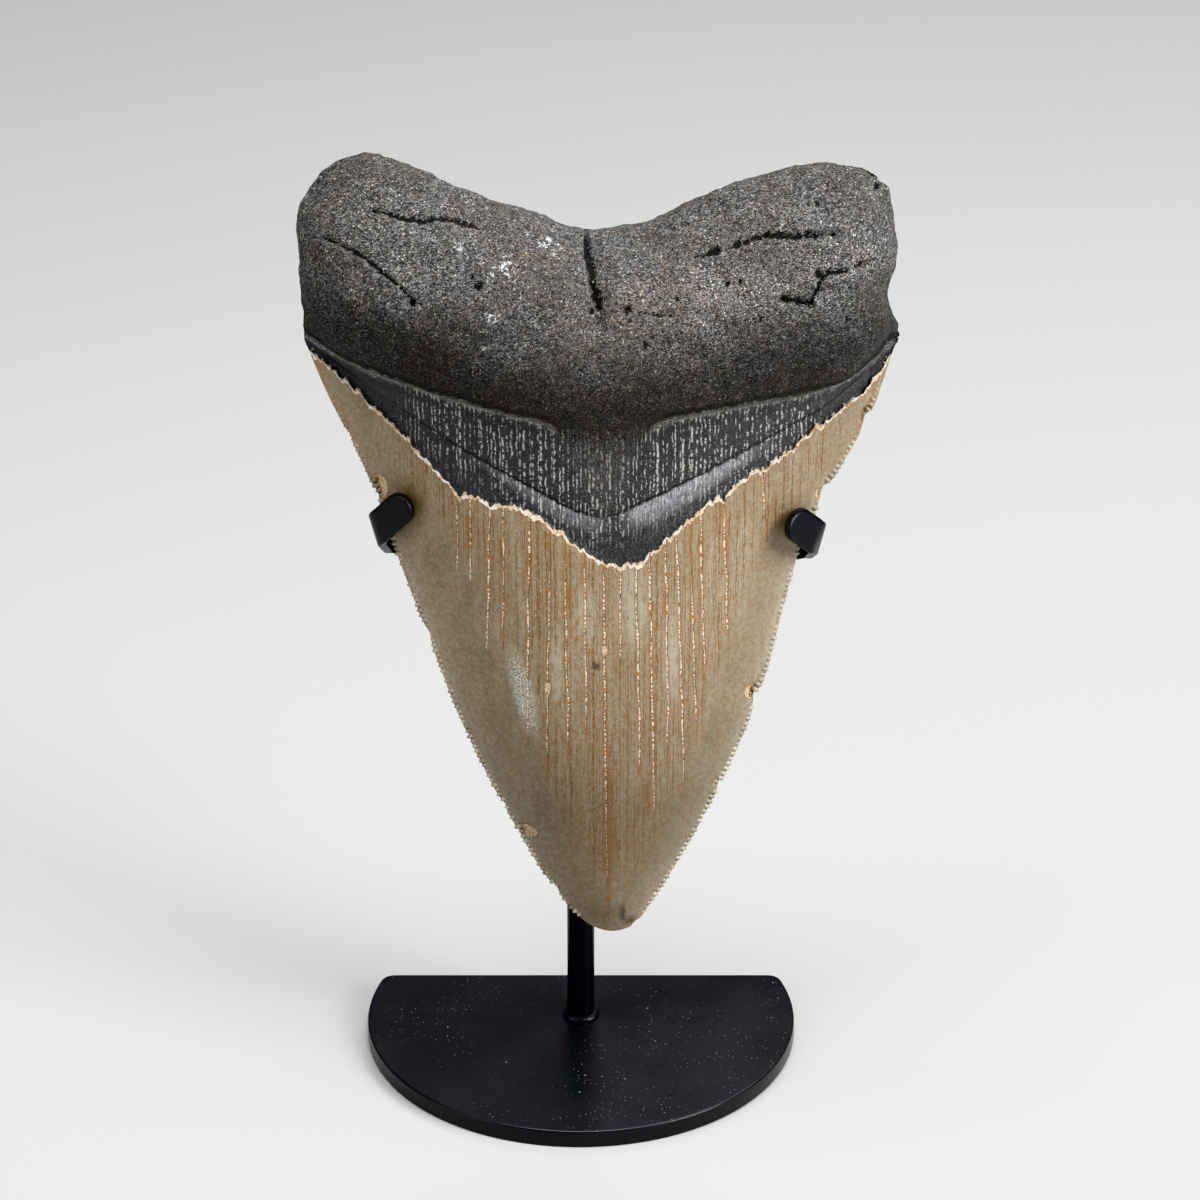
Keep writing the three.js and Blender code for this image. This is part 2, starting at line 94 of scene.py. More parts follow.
def smooth_line(points: Points, steps: int = 24) -> Array:
    """A smooth centripetal curve through points.

    Args:
        points: The points that it passes.
        steps: How many straight pieces each span gets.

    Returns:
        The curve's points, one a row.
    """
    p = np.array(points, float)
    p = np.vstack([2 * p[0] - p[1], p, 2 * p[-1] - p[-2]])
    t = np.linspace(0, 1, steps, endpoint=False)[:, None]
    spans = []
    for a, b, c, d in zip(p, p[1:], p[2:], p[3:]):
        before, span, after = (np.linalg.norm(v) ** 0.5 for v in (b - a, c - b, d - c))
        leave = ((b - a) / before - (c - a) / (before + span) + (c - b) / span) * span
        arrive = ((c - b) / span - (d - b) / (span + after) + (d - c) / after) * span
        start = (2 * t**3 - 3 * t**2 + 1) * b + (t**3 - 2 * t**2 + t) * leave
        spans.append(start + (3 * t**2 - 2 * t**3) * c + (t**3 - t**2) * arrive)
    return np.vstack([*spans, p[-2:-1]])


def along(line: Array, share: Array) -> Array:
    """Points at shares of a line's length.

    Args:
        line: The line's points, one a row.
        share: Shares of its length, from 0 to 1, in any shape.

    Returns:
        An array of that shape with one more axis, for the coordinates.
    """
    run = np.concatenate([[0], np.cumsum(np.linalg.norm(np.diff(line, axis=0), axis=1))])
    return np.stack([np.interp(share * run[-1], run, line[:, axis]) for axis in range(line.shape[1])], -1)


def distance_to(line: Array, x: Array, z: Array) -> Array:
    """Distances from points to a line.

    Args:
        line: The line's points, one a row.
        x: Across coordinates of the points.
        z: Up coordinates of the points.

    Returns:
        The distances, in the shape of x.
    """
    start, step = line[:-1], np.diff(line, axis=0)
    length = np.maximum((step * step).sum(-1), 1e-9)
    flat = np.stack([x.ravel(), z.ravel()], -1)
    nearest = np.empty(len(flat))
    for first in range(0, len(flat), 2000):
        offset = flat[first:first + 2000, None] - start
        share = np.clip((offset * step).sum(-1) / length, 0, 1)[..., None]
        nearest[first:first + 2000] = np.linalg.norm(offset - share * step, axis=-1).min(1)
    return nearest.reshape(x.shape)


def lumps(place: Array, size: float, octaves: int = 1) -> Array:
    """Smooth random swells over points in space.

    Args:
        place: The points, coordinates on the last axis.
        size: How wide a swell is.
        octaves: How many finer layers are added.

    Returns:
        Numbers of about -1 to 1, one for each point.
    """
    flat = place.reshape(-1, 3) / size
    heights = [noise.fractal(Vector(p), 1.0, 2.0, octaves) for p in flat]
    return np.array(heights).reshape(place.shape[:-1])


@dataclass(frozen=True)
class ToothForm:
    """The outlines and depths of the tooth, in its own frame."""

    tip: tuple = (4.6, -17.0, 31.1)
    lean: float = 10.0
    blade_points: Points = (
        (-49.8, 104.1), (-46.2, 94.5), (-40.1, 80.8), (-35.7, 68.0), (-30.5, 53.4), (-24.0, 35.7),
        (-14.8, 17.1), (-8.0, 6.0), (-3.4, 1.4), (1.0, 0.0), (4.8, 1.3), (8.3, 6.0), (16.3, 20.1),
        (22.7, 34.0), (27.0, 46.3), (29.9, 58.4), (33.2, 70.5), (38.3, 80.8), (43.5, 90.6), (45.6, 97.3),
        (47.1, 102.9),
    )
    top_points: Points = (
        (-46.1, 133.4), (-39.1, 136.0), (-33.8, 134.8), (-24.6, 131.1), (-13.1, 126.8), (-6.0, 124.2),
        (-1.2, 123.7), (4.5, 124.6), (13.3, 128.2), (24.2, 132.5), (33.7, 134.5), (41.5, 133.4),
        (45.6, 130.5),
    )
    left_points: Points = ((-49.8, 104.1), (-49.7, 110.3), (-50.1, 119.9), (-49.2, 128.5), (-46.1, 133.4))
    right_points: Points = ((47.1, 102.9), (48.1, 106.2), (45.7, 112.8), (46.9, 120.9), (45.6, 130.5))
    enamel_points: Points = (
        (-49.9, 103.3), (-44.8, 99.3), (-34.8, 90.5), (-25.1, 80.8), (-18.9, 79.4), (-12.1, 77.4),
        (-3.6, 71.4), (0.8, 68.7), (4.5, 69.4), (8.7, 72.2), (17.8, 79.6), (29.2, 86.2), (36.6, 91.7),
        (43.3, 96.8), (47.1, 102.3),
    )
    crease_points: Points = (
        (-49.9, 103.8), (-40.3, 97.7), (-26.5, 89.5), (-14.3, 83.1), (-1.2, 77.2), (6.0, 79.8),
        (18.4, 85.5), (26.6, 89.5), (36.5, 94.3), (47.1, 102.7),
    )
    root_edge_points: Points = (
        (-49.9, 105.0), (-45.5, 102.6), (-40.5, 100.5), (-32.1, 98.3), (-22.4, 96.0), (-12.6, 94.0),
        (-1.2, 92.7), (11.8, 94.3), (24.8, 95.9), (31.4, 96.5), (38.1, 97.9), (43.1, 100.5), (47.1, 103.7),
    )
    back_enamel_points: Points = (
        (-49.9, 103.7), (-34.2, 96.2), (-16.1, 88.6), (0.0, 85.6), (16.1, 88.6), (33.2, 95.7),
        (47.1, 102.5),
    )
    crown_front: Points = (
        (0, 1.2), (6, 3.4), (15, 5.6), (30, 8.4), (50, 11.2), (70, 13.4), (90, 15.4), (130, 17.0),
    )
    crown_back: Points = ((0, 0.6), (10, 1.5), (30, 2.7), (60, 3.5), (130, 4.0))
    rim_blade: float = 1.5
    rim_corners: float = 3.0
    rim_root: float = 9.0
    rim_heights: tuple = (85.0, 103.0, 120.0)
    enamel_step: float = 0.6
    crease_depth: float = 0.7
    root_step: float = 1.7
    bulge_centre: float = 24.0
    bulge_side: float = 17.5
    bulge_crest: float = 0.42
    bulge_fall: float = 0.3
    rounding: float = 9.5
    back_rounding: float = 7.5
    furrow: tuple = (-1.6, 108.0, 1.6, 1.4)
    back_hollow: tuple = (1.3, 15.0, 100.0, 116.0, 0.9)
    edge_notches: Points = ((-24.3, 1.6, 0.5), (-19.3, 1.7, 0.6), (4.9, 1.2, 0.8), (19.1, 1.9, 0.6))
    # The lens of the crown: how far in its middle starts, as a share of the width, and how full it is
    lens_reach: float = 0.44
    lens_fullness: float = 2.2
    front_lens: float = 1.15
    back_lens: float = 1.1
    lines: dict = field(default_factory=dict, compare=False)

    def line(self, name: str) -> Array:
        """One of the outlines as a smooth line, made once."""
        if name not in self.lines:
            self.lines[name] = smooth_line(getattr(self, name + "_points"))
        return self.lines[name]

    def height(self, name: str, x: Array) -> Array:
        """The height at x of an outline that runs from left to right."""
        line = self.line(name)
        return np.interp(x, line[:, 0], line[:, 1])

    def rim(self, z: Array) -> Array:
        """How far forward of the back plane the rim lies, by height."""
        low, middle, high = self.rim_heights
        corners = (self.rim_corners - self.rim_blade) * smooth(z, low, middle)
        return self.rim_blade + corners + (self.rim_root - self.rim_corners) * smooth(z, middle, high)

    def to_blade(self, x: Array, z: Array) -> Array:
        """Distances to the cutting edge."""
        return distance_to(along(self.line("blade"), np.linspace(0, 1, 241)), x, z)

    def to_root(self, x: Array, z: Array) -> Array:
        """Distances to the root's outline."""
        pieces = [self.line("left"), self.line("top"), self.line("right")[::-1]]
        return distance_to(np.vstack([along(piece, np.linspace(0, 1, 41)) for piece in pieces]), x, z)

    def lens(self, x: Array, z: Array, power: float) -> Array:
        """0 on the cutting edge, 1 over the middle of the crown."""
        blade = self.line("blade")
        lowest = int(blade[:, 1].argmin())
        left = np.interp(z, blade[lowest::-1, 1], blade[lowest::-1, 0])
        right = np.interp(z, blade[lowest:, 1], blade[lowest:, 0])
        reach = np.maximum(3, self.lens_reach * (right - left))
        return (1 - (1 - np.minimum(1, self.to_blade(x, z) / reach)) ** self.lens_fullness) ** power

    def crown(self, x: Array, z: Array) -> Array:
        """The crown's front, before the enamel's edge is cut in."""
        thickness = np.interp(z, *np.array(self.crown_front).T)
        return self.rim(np.minimum(z, self.rim_heights[1])) + thickness * self.lens(x, z, self.front_lens)

    def root(self, x: Array, z: Array) -> Array:
        """The root's front: a bulge from its overhanging lower edge over a crest to the top."""
        low = self.height("root_edge", x)
        share = np.clip((z - low) / (self.height("top", x) - low), 0, 1)
        stations = np.linspace(-51, 49, 201)
        feet = self.crown(stations, self.height("root_edge", stations)) + self.root_step
        foot = np.interp(x, stations, feet)
        peak = mix(self.bulge_centre, self.bulge_side, (np.abs(x) / 45) ** 1.5)
        rise = np.sin((math.pi / 2) * np.minimum(1, share / self.bulge_crest)) ** 0.9
        over = np.maximum(0, (share - self.bulge_crest) / (1 - self.bulge_crest))
        at, start, width, depth = self.furrow
        furrow = depth * np.exp(-(((x - at) / width) ** 2)) * smooth(z, start, start + 3)
        return (foot + (peak - foot) * rise) * (1 - self.bulge_fall * over**2) - furrow

    def round_over(self, x: Array, z: Array, radius: float) -> Array:
        """A quarter-round rise from 0 at the root's outline to 1 inside it."""
        return np.sqrt(1 - (1 - np.minimum(1, self.to_root(x, z) / radius)) ** 2)

    def above_enamel(self, x: Array, z: Array, side: Side) -> Array:
        """How high points lie above the enamel's broken upper edge, notches and small steps included."""
        if side is Side.BACK:
            return z - self.height("back_enamel", x)
        edge = self.height("enamel", x)
        for at, depth, width in self.edge_notches:
            edge = edge - depth * np.exp(-np.abs((x - at) / width))
        steps = np.array([noise.fractal(Vector((v * 0.9, 7.3, 0)), 0.6, 2.1, 4) for v in x.ravel()])
        return z - edge - 0.75 * steps.reshape(x.shape)

    def forward(self, x: Array, z: Array, side: Side) -> Array:
        """How far forward of the back plane the front or back surface lies."""
        rim = self.rim(z)
        if side is Side.BACK:
            on_root = smooth(z - self.height("back_enamel", x), -0.5, 3)
            thickness = np.interp(z, *np.array(self.crown_back).T)
            crown = rim - thickness * self.lens(x, z, self.back_lens)
            depth, width, start, end, behind = self.back_hollow
            hollow = depth * np.exp(-((x / width) ** 2)) * smooth(z, start, end)
            root = rim - (rim + behind - hollow) * self.round_over(x, z, self.back_rounding)
            return mix(crown, root, on_root)
        softness = 0.5 + 5 * np.exp(-((x / 9) ** 2))
        above = z - self.height("root_edge", x)
        on_root = smooth((above + softness) / (2 * softness + 0.4), 0, 1)
        bare = smooth(self.above_enamel(x, z, side), -0.1, 0.3)
        below_crease = self.height("crease", x) - z
        groove = np.exp(-np.maximum(0, below_crease) / 1.7 - np.maximum(0, -below_crease) / 0.35)
        step = bare * self.enamel_step * (1 + groove * 1.3 * self.crease_depth)
        step = step * np.minimum(1, self.to_blade(x, z) / 3)
        round_over = mix(1, self.round_over(x, z, self.rounding), on_root)
        return rim + (mix(self.crown(x, z) - step, self.root(x, z), on_root) - rim) * round_over

    def patch(self, s: Array, t: Array) -> tuple[Array, Array]:
        """Points of the outline's patch.

        Args:
            s: Shares from the left side to the right.
            t: Shares from the cutting edge to the root's top.

        Returns:
            The across and up coordinates.
        """
        low, high = along(self.line("blade"), s), along(self.line("top"), s)
        left, right = along(self.line("left"), t), along(self.line("right"), t)
        corners = [self.line(name)[end] for name in ("left", "right") for end in (0, -1)]
        s, t = s[..., None], t[..., None]
        corner_mix = mix(mix(corners[0], corners[2], s), mix(corners[1], corners[3], s), t)
        point = mix(low, high, t) + mix(left, right, s) - corner_mix
        return point[..., 0], point[..., 1]

    def to_stand(self) -> Matrix:
        """The matrix from the tooth's own frame, in millimetres, to the stand's, in metres."""
        turn = Matrix.Rotation(-math.radians(self.lean), 4, "X")
        flip = Matrix.Diagonal((1, -1, 1, 1))
        return Matrix.Scale(MM, 4) @ Matrix.Translation(self.tip) @ turn @ flip

    def in_stand(self, place: Array) -> Array:
        """Points of the tooth's own frame in the stand's."""
        matrix = np.array(self.to_stand())
        return place @ matrix[:3, :3].T + matrix[:3, 3]

    def facing(self) -> Vector:
        """The way that the tooth's bulging face looks, in the stand's frame."""
        return (self.to_stand().to_3x3() @ Vector((0, 1, 0))).normalized()


@dataclass(frozen=True)
class Marks:
    """Where the tooth is cracked, pitted, chipped and stained, in its own frame, in millimetres."""

    # Enamel cracks: across at the top, height there, across at the foot, height there, how white
    cracks: Points = (
        (-24.7, 80.4, -24.7, 67.0, 0.85), (-22.5, 79.2, -22.6, 65.0, 0.5),
        (-19.2, 79.6, -20.0, 53.4, 0.95), (-17.1, 78.0, -17.3, 57.5, 0.7),
        (-12.8, 76.6, -13.3, 38.6, 0.8), (-9.6, 65.5, -10.1, 35.0, 0.75),
        (-6.9, 67.7, -6.5, 37.5, 0.85), (-3.7, 66.7, -3.5, 41.2, 0.65), (-0.7, 65.5, 0.1, 12.0, 0.9),
        (2.2, 69.0, 2.1, 53.0, 0.75), (4.7, 69.8, 5.5, 33.5, 1.0), (7.0, 67.1, 7.9, 24.0, 0.9),
        (9.6, 71.4, 10.2, 37.0, 0.85), (11.4, 72.1, 13.0, 29.0, 0.9), (14.0, 63.0, 14.9, 40.1, 0.6),
        (15.2, 77.6, 16.1, 51.1, 0.95), (19.2, 75.7, 20.1, 56.0, 0.7), (25.4, 82.0, 25.9, 76.5, 0.7),
    )
    # Open cracks of the root: their course, half width and depth
    splits: tuple = (
        (((-37.6, 128.3), (-33.1, 127.4), (-29.5, 126.7), (-26.8, 126.9), (-20.0, 125.4)), 0.32, 0.8),
        (((-45.3, 123.6), (-40.4, 121.8), (-36.3, 119.1), (-32.4, 115.7), (-30.6, 113.4)), 0.27, 0.6),
        (
            ((-4.0, 128.0), (-3.3, 123.3), (-2.9, 120.5), (-2.2, 118.2), (-1.9, 115.6), (-1.1, 112.6)),
            0.52, 1.5,
        ),
        (
            ((14.0, 121.4), (17.1, 122.3), (21.1, 123.6), (25.9, 124.8), (31.0, 124.3), (36.3, 124.6)),
            0.45, 1.0,
        ),
        (((28.3, 114.7), (30.4, 114.2), (32.7, 113.9)), 0.62, 1.5),
        (((32.7, 113.9), (33.6, 116.0), (34.4, 118.0)), 0.5, 1.1),
        (((33.4, 118.0), (37.2, 118.8), (42.9, 120.2)), 0.36, 0.8),
        (((3.1, 113.4), (7.0, 112.6), (11.5, 112.4)), 0.25, 0.35),
    )
    # Pits of the root: across, up, radius, depth
    pits: Points = (
        (-31.2, 114.0, 0.65, 1.3), (-20.6, 116.8, 0.75, 1.5), (-21.6, 118.4, 0.4, 0.8),
        (3.1, 113.4, 0.75, 1.3), (-2.3, 113.0, 0.5, 0.9), (6.0, 107.9, 0.7, 0.5),
        (11.1, 114.9, 0.4, 0.8), (19.2, 117.3, 0.6, 1.0), (21.3, 117.7, 0.45, 0.8),
        (33.5, 129.3, 0.4, 0.8), (43.6, 131.2, 0.55, 0.8), (32.0, 125.0, 0.5, 0.9),
        (28.3, 114.7, 0.75, 1.5), (33.8, 118.4, 0.75, 1.2), (35.4, 118.6, 0.6, 1.0),
        (38.5, 110.5, 0.4, 0.5), (-10.0, 121.0, 0.35, 0.4), (24.4, 111.4, 0.45, 0.4),
        (-39.5, 108.0, 0.35, 0.4), (1.0, 110.4, 0.4, 0.6),
    )
    # Rust-coloured spots and runs of the enamel, and its bleached places: across, up, half width and
    # half height
    rust: Points = (
        (0.3, 35.4, 0.8, 1.5), (0.3, 19.0, 0.8, 17.0), (0.6, 28.0, 0.5, 7.0), (3.3, 42.0, 0.45, 1.3),
        (-5.2, 55.7, 0.5, 1.0), (-2.7, 53.6, 0.7, 0.8), (2.5, 54.6, 0.7, 0.5), (8.0, 57.2, 0.5, 0.8),
        (-8.0, 44.0, 0.5, 0.9), (-5.0, 58.8, 0.5, 0.9), (6.8, 27.0, 0.4, 6.0), (-0.3, 46.5, 0.5, 7.0),
        (-6.4, 63.5, 0.6, 3.0), (-12.9, 69.0, 0.6, 4.0), (-22.6, 74.0, 0.7, 4.5), (9.6, 62.0, 0.5, 4.0),
        (-17.3, 71.0, 0.6, 4.0), (15.5, 70.0, 0.6, 4.5), (19.6, 70.0, 0.6, 4.0),
    )
    bleached: Points = (
        (4.0, 61.5, 3.2, 8.5), (-3.6, 60.5, 1.8, 6.0), (10.6, 52.0, 1.6, 9.0), (-8.4, 50.0, 1.2, 8.0),
    )
    # Flaked places of the enamel: across, up, half width, half height, depth
    flakes: Points = (
        (-37.9, 79.0, 1.5, 2.3, 0.5), (-23.3, 35.4, 0.8, 1.3, 0.3), (-13.7, 18.6, 1.9, 1.3, 0.5),
        (24.5, 43.3, 1.4, 1.4, 0.6), (18.8, 26.8, 0.9, 1.1, 0.35), (17.4, 24.0, 0.6, 0.9, 0.3),
        (35.3, 77.9, 0.7, 0.8, 0.4), (42.8, 91.4, 0.9, 1.5, 0.5), (-9.2, 8.2, 1.0, 0.7, 0.25),
        (-0.4, 53.8, 0.5, 1.1, 0.1), (-9.9, 46.8, 0.55, 1.2, 0.12),
    )
    # Bites out of the cutting edge: across, up, width, depth
    chips: Points = (
        (25.6, 41.6, 1.5, 1.0), (37.0, 77.4, 1.8, 1.3), (-29.8, 53.4, 1.5, 0.45),
        (43.6, 89.6, 1.6, 1.2), (-9.0, 7.4, 1.9, 0.35), (-18.0, 23.0, 1.0, 0.35),
        (19.6, 26.2, 0.9, 0.4), (34.3, 72.6, 1.0, 0.35), (-38.6, 77.0, 1.3, 0.4),
        (-43.2, 87.5, 1.0, 0.3), (46.5, 99.0, 0.9, 0.3), (5.0, 1.6, 0.8, 0.4),
    )
    # White grains in the root: across, up, spread
    grains: Points = (
        (-21.5, 124.2, 1.0), (-24.0, 122.8, 1.4), (-10.0, 122.7, 1.5), (-8.2, 121.9, 1.3),
        (-16.3, 119.8, 2.4), (-18.6, 118.6, 1.6), (-13.2, 123.9, 0.7), (-19.6, 106.7, 0.7),
        (-18.4, 112.4, 1.6), (-22.3, 109.0, 0.6),
    )
    # Paler or darker areas of the root: across, up, half width, half height, change
    paler: Points = (
        (17.0, 115.5, 11.0, 5.0, 0.66), (37.0, 121.0, 8.0, 6.0, 0.34), (-1.0, 109.0, 6.0, 6.0, 0.10),
        (-33.0, 118.0, 6.0, 5.0, 0.18), (-28.0, 110.0, 8.0, 4.5, -0.18),
        (-12.0, 112.0, 9.0, 3.0, -0.10), (30.0, 106.0, 9.0, 4.0, -0.12), (-4.0, 117.0, 9.0, 5.0, -0.10),
    )
    # The painted glint of the enamel, a reflection of the light stippled in pale dots, how far it slants,
    # and its dark spots: across, up, half width, half height
    painted_glint_patch: tuple = (-14.0, 45.5, 2.2, 9.0)
    painted_glint_slant: float = 0.2
    dark_spots: Points = (
        (-1.9, 51.0, 0.9, 1.0), (2.6, 4.2, 0.7, 2.6), (4.0, 2.4, 0.9, 1.2), (-6.2, 4.6, 0.8, 0.7),
    )

    def oval(self, x: Array, z: Array, spot: Sequence[float]) -> Array:
        """1 at an oval spot's middle, 0 on its border, less outside."""
        return 1 - np.hypot((x - spot[0]) / spot[2], (z - spot[1]) / spot[3])

    def ovals(self, x: Array, z: Array, spots: Points) -> Array:
        """The same for the nearest of several spots."""
        return np.max([self.oval(x, z, spot) for spot in spots], 0)

    def wound(self, x: Array, z: Array) -> tuple[Array, Array]:
        """How open the root is.

        Args:
            x: Across coordinates.
            z: Up coordinates.

        Returns:
            A field that is 1 in the middle of a crack or pit and 0 at its border, and the depth there.
        """
        spread, depth = np.full(x.shape, NO_MARK), np.zeros(x.shape)
        flat = list(zip(x.ravel(), z.ravel()))
        wander = [noise.fractal(Vector((a * 0.8, b * 0.8, 3.1)), 0.7, 2.6, 2) for a, b in flat]
        wander = 0.4 * np.array(wander).reshape(x.shape)
        swell = [noise.fractal(Vector((a * 0.45, 5.2, b * 0.45)), 0.6, 2.3, 3) for a, b in flat]
        swell = (1 + 1.2 * np.array(swell).reshape(x.shape)).clip(0.12, 1.7)
        for course, widest, deep in self.splits:
            line = smooth_line(course, 6)
            away = distance_to(line, x + wander, z - wander)
            to_end = np.minimum(*(np.hypot(x - end[0], z - end[1]) for end in (line[0], line[-1])))
            half = widest * swell * (0.45 + 0.55 * smooth(to_end, 0, 4))
            spread = np.maximum(spread, 1 - away / half)
            depth = np.maximum(depth, deep * np.exp(-((away / half) ** 2)))
        for at_x, at_z, radius, deep in self.pits:
            away = np.hypot(x - at_x, z - at_z)
            spread = np.maximum(spread, 1 - away / radius)
            depth = np.maximum(depth, deep * np.exp(-((away / radius) ** 2)))
        return spread, depth

    def crack_field(self, x: Array, z: Array) -> dict[str, Array]:
        """The enamel's cracks as fields that stay exact between the mesh's points.

        Args:
            x: Across coordinates.
            z: Up coordinates.

        Returns:
            phase: whole numbers on the cracks, growing evenly between them. gap: millimetres a whole
            number. white: how much white mineral fills the nearest crack. brown: how stained it is.
        """
        wander = [noise.noise(Vector((a * 0.25, b * 0.16, 9.7))) for a, b in zip(x.ravel(), z.ravel())]
        x = x + 0.22 * np.array(wander).reshape(x.shape)
        table = np.array(self.cracks)
        share = (z[..., None] - table[:, 3]) / (table[:, 1] - table[:, 3])
        at = table[:, 2] + np.clip(share, -1.2, 1.4) * (table[:, 0] - table[:, 2])
        at = np.concatenate([at[..., :1] - 4, at, at[..., -1:] + 4], -1)
        gaps = np.maximum(0.4, np.diff(at, axis=-1))
        steps = np.clip((x[..., None] - at[..., :-1]) / gaps, 0, 1)
        steps[..., [0, -1]] *= 0.5
        gaps[..., [0, -1]] *= 2
        phase = 0.5 + steps.sum(-1)
        span = np.clip(phase.astype(int), 0, gaps.shape[-1] - 1)
        nearest = np.clip(np.round(phase).astype(int) - 1, 0, len(table) - 1)
        top, foot, white = table[nearest, 1], table[nearest, 3], table[nearest, 4]
        inside = smooth(z, foot - 1.5, foot + 1.5) * smooth(-z, -top - 3, -top + 1.5)
        stained = smooth(z, foot - 11, foot + 3)
        return {
            "phase": phase,
            "gap": np.take_along_axis(gaps, span[..., None], -1)[..., 0],
            "white": white * inside * (0.45 + 0.55 * smooth(z, 10, 48)),
            "brown": stained,
        }


class Nodes:
    """A short way to add nodes to a tree."""

    prefix = ""
    tree: bpy.types.NodeTree

    def node(self, kind: str, inputs: dict, **settings: object) -> bpy.types.Node:
        """Adds a node.

        Args:
            kind: Its type, without the prefix.
            inputs: Values or sockets by input name or number.
            settings: The node's own settings.

        Returns:
            The node.
        """
        made = self.tree.nodes.new(self.prefix + kind)
        for key, setting in settings.items():
            setattr(made, key, setting)
        for key, value in inputs.items():
            self.feed(made.inputs[key], value)
        return made

    def feed(self, target: Socket, value: Union[Value, Colour]) -> None:
        """Links a socket to an input, or sets a number or colour on it."""
        if isinstance(value, bpy.types.NodeSocket):
            self.tree.links.new(value, target)
        elif isinstance(value, tuple) and len(value) == 3 and target.type == "RGBA":
            target.default_value = (*value, 1)
        else:
            target.default_value = value


class Graph(Nodes):
    """A short way to write a material's nodes."""

    prefix = "ShaderNode"

    def __init__(self, name: str, place: str = "") -> None:
        """Starts a material with a plain shader.

        Args:
            name: Its name.
            place: The mesh's field that its patterns follow. Without one they follow the piece, in metres.
        """
        self.material = bpy.data.materials.new(name)
        self.material.use_nodes = True
        self.tree = self.material.node_tree
        self.shader = self.tree.nodes["Principled BSDF"]
        if place:
            self.point = self.attribute(place, "Vector")
        else:
            self.point = self.node("TexCoord", {}).outputs["Object"]

    def attribute(self, name: str, output: str = "Fac") -> Socket:
        """An attribute of the mesh."""
        return self.node("Attribute", {}, attribute_name=name).outputs[output]

    def math(self, kind: str, *values: Value) -> Socket:
        """One step of arithmetic on one to three values."""
        return self.node("Math", dict(enumerate(values)), operation=kind).outputs[0]

    def times(self, *values: Value) -> Socket:
        """The product of values."""
        product = values[0]
        for value in values[1:]:
            product = self.math("MULTIPLY", product, value)
        return product

    def rest(self, share: Value) -> Socket:
        """What is left of 1 beside a share."""
        return self.math("SUBTRACT", 1.0, share)

    def around(self, noise_value: Socket, span: float) -> Socket:
        """Noise of 0 to 1 as a swing about 0, that wide in all."""
        return self.times(self.math("SUBTRACT", noise_value, 0.5), span)

    def step(self, value: Value, low: float, high: float) -> Socket:
        """A soft step from 0 at low to 1 at high. High may be the lower number."""
        flip = high < low
        inputs = {0: value, 1: min(low, high), 2: max(low, high), 3: float(flip), 4: float(not flip)}
        return self.node("MapRange", inputs, interpolation_type="SMOOTHSTEP").outputs[0]

    def split(self, vector: Socket) -> tuple[Socket, Socket, Socket]:
        """The three coordinates of a point."""
        outputs = self.node("SeparateXYZ", {0: vector}).outputs
        return outputs[0], outputs[1], outputs[2]

    def join(self, x: Value, y: Value, z: Value) -> Socket:
        """A point from three coordinates."""
        return self.node("CombineXYZ", {0: x, 1: y, 2: z}).outputs[0]

    def noise(self, point: Socket, scale: float, detail: float = 2, rough: float = 0.5) -> Socket:
        """Soft noise from 0 to 1."""
        inputs = {"Vector": point, "Scale": scale, "Detail": detail, "Roughness": rough}
        return self.node("TexNoise", inputs).outputs["Fac"]

    def cells(self, point: Socket, scale: float) -> tuple[Socket, Socket, Socket, Socket]:
        """Scattered grains: the distance to the nearest one's middle, and three lots of its own."""
        found = self.node("TexVoronoi", {"Vector": point, "Scale": scale}).outputs
        lots = self.node("SeparateColor", {0: found["Color"]}).outputs
        return found["Distance"], lots[0], lots[1], lots[2]

    def comb(
        self, x: Socket, z: Socket, pitch: float, width: float, length: float, share: float,
        wave: float = 0.22,
    ) -> Socket:
        """Fine upright lines, broken along their length.

        Args:
            x: The coordinate across the lines.
            z: The coordinate along them.
            pitch: How far apart they are.
            width: How wide half of one is.
            length: How long their pieces are.
            share: How much of each line is there.
            wave: How many times a line sways in a millimetre.

        Returns:
            1 on a line, 0 beside it.
        """
        sway = self.noise(self.join(self.times(x, 0.3), pitch, self.times(z, wave)), 1.0, 3, 0.65)
        column = self.math("MULTIPLY_ADD", x, 1 / pitch, self.times(sway, 0.9 / pitch))
        cell = self.math("FLOOR", column)
        lot = self.node("TexWhiteNoise", {"W": cell}, noise_dimensions="1D").outputs["Value"]
        middle = self.math("MULTIPLY_ADD", lot, 0.6, 0.2)
        off = self.math("ABSOLUTE", self.math("SUBTRACT", self.math("FRACT", column), middle))
        off = self.times(off, self.math("MULTIPLY_ADD", lot, 1.1, 0.6))
        run = self.noise(self.join(self.times(cell, 3.7), 0.0, self.times(z, 1 / length)), 1.0, 2, 0.7)
        low = 0.5 + (0.5 - share) * 0.5
        drawn = self.step(off, width / pitch, 0.4 * width / pitch)
        return self.times(drawn, self.step(run, low - 0.03, low + 0.05))

    def blend(self, share: Value, a: Union[Colour, Socket], b: Union[Colour, Socket]) -> Socket:
        """Two colours mixed."""
        inputs = {"Factor": share, 6: a, 7: b}
        return self.node("Mix", inputs, data_type="RGBA", blend_type="MIX").outputs[2]

    def darkened(self, colour: Socket, red: Value, green: Value, blue: Value) -> Socket:
        """A colour times a factor for each of its parts."""
        inputs = {"Factor": 1.0, 6: colour, 7: self.join(red, green, blue)}
        return self.node("Mix", inputs, data_type="RGBA", blend_type="MULTIPLY").outputs[2]

    def between(self, share: Value, a: Value, b: Value) -> Socket:
        """Two numbers mixed."""
        return self.node("Mix", {"Factor": share, 2: a, 3: b}, data_type="FLOAT").outputs[0]

    def bump(self, height: Value, depth: float) -> Socket:
        """A normal tilted by a height, where 1 stands for a depth in metres."""
        return self.node("Bump", {"Height": height, "Distance": depth, "Strength": 1.0}).outputs[0]

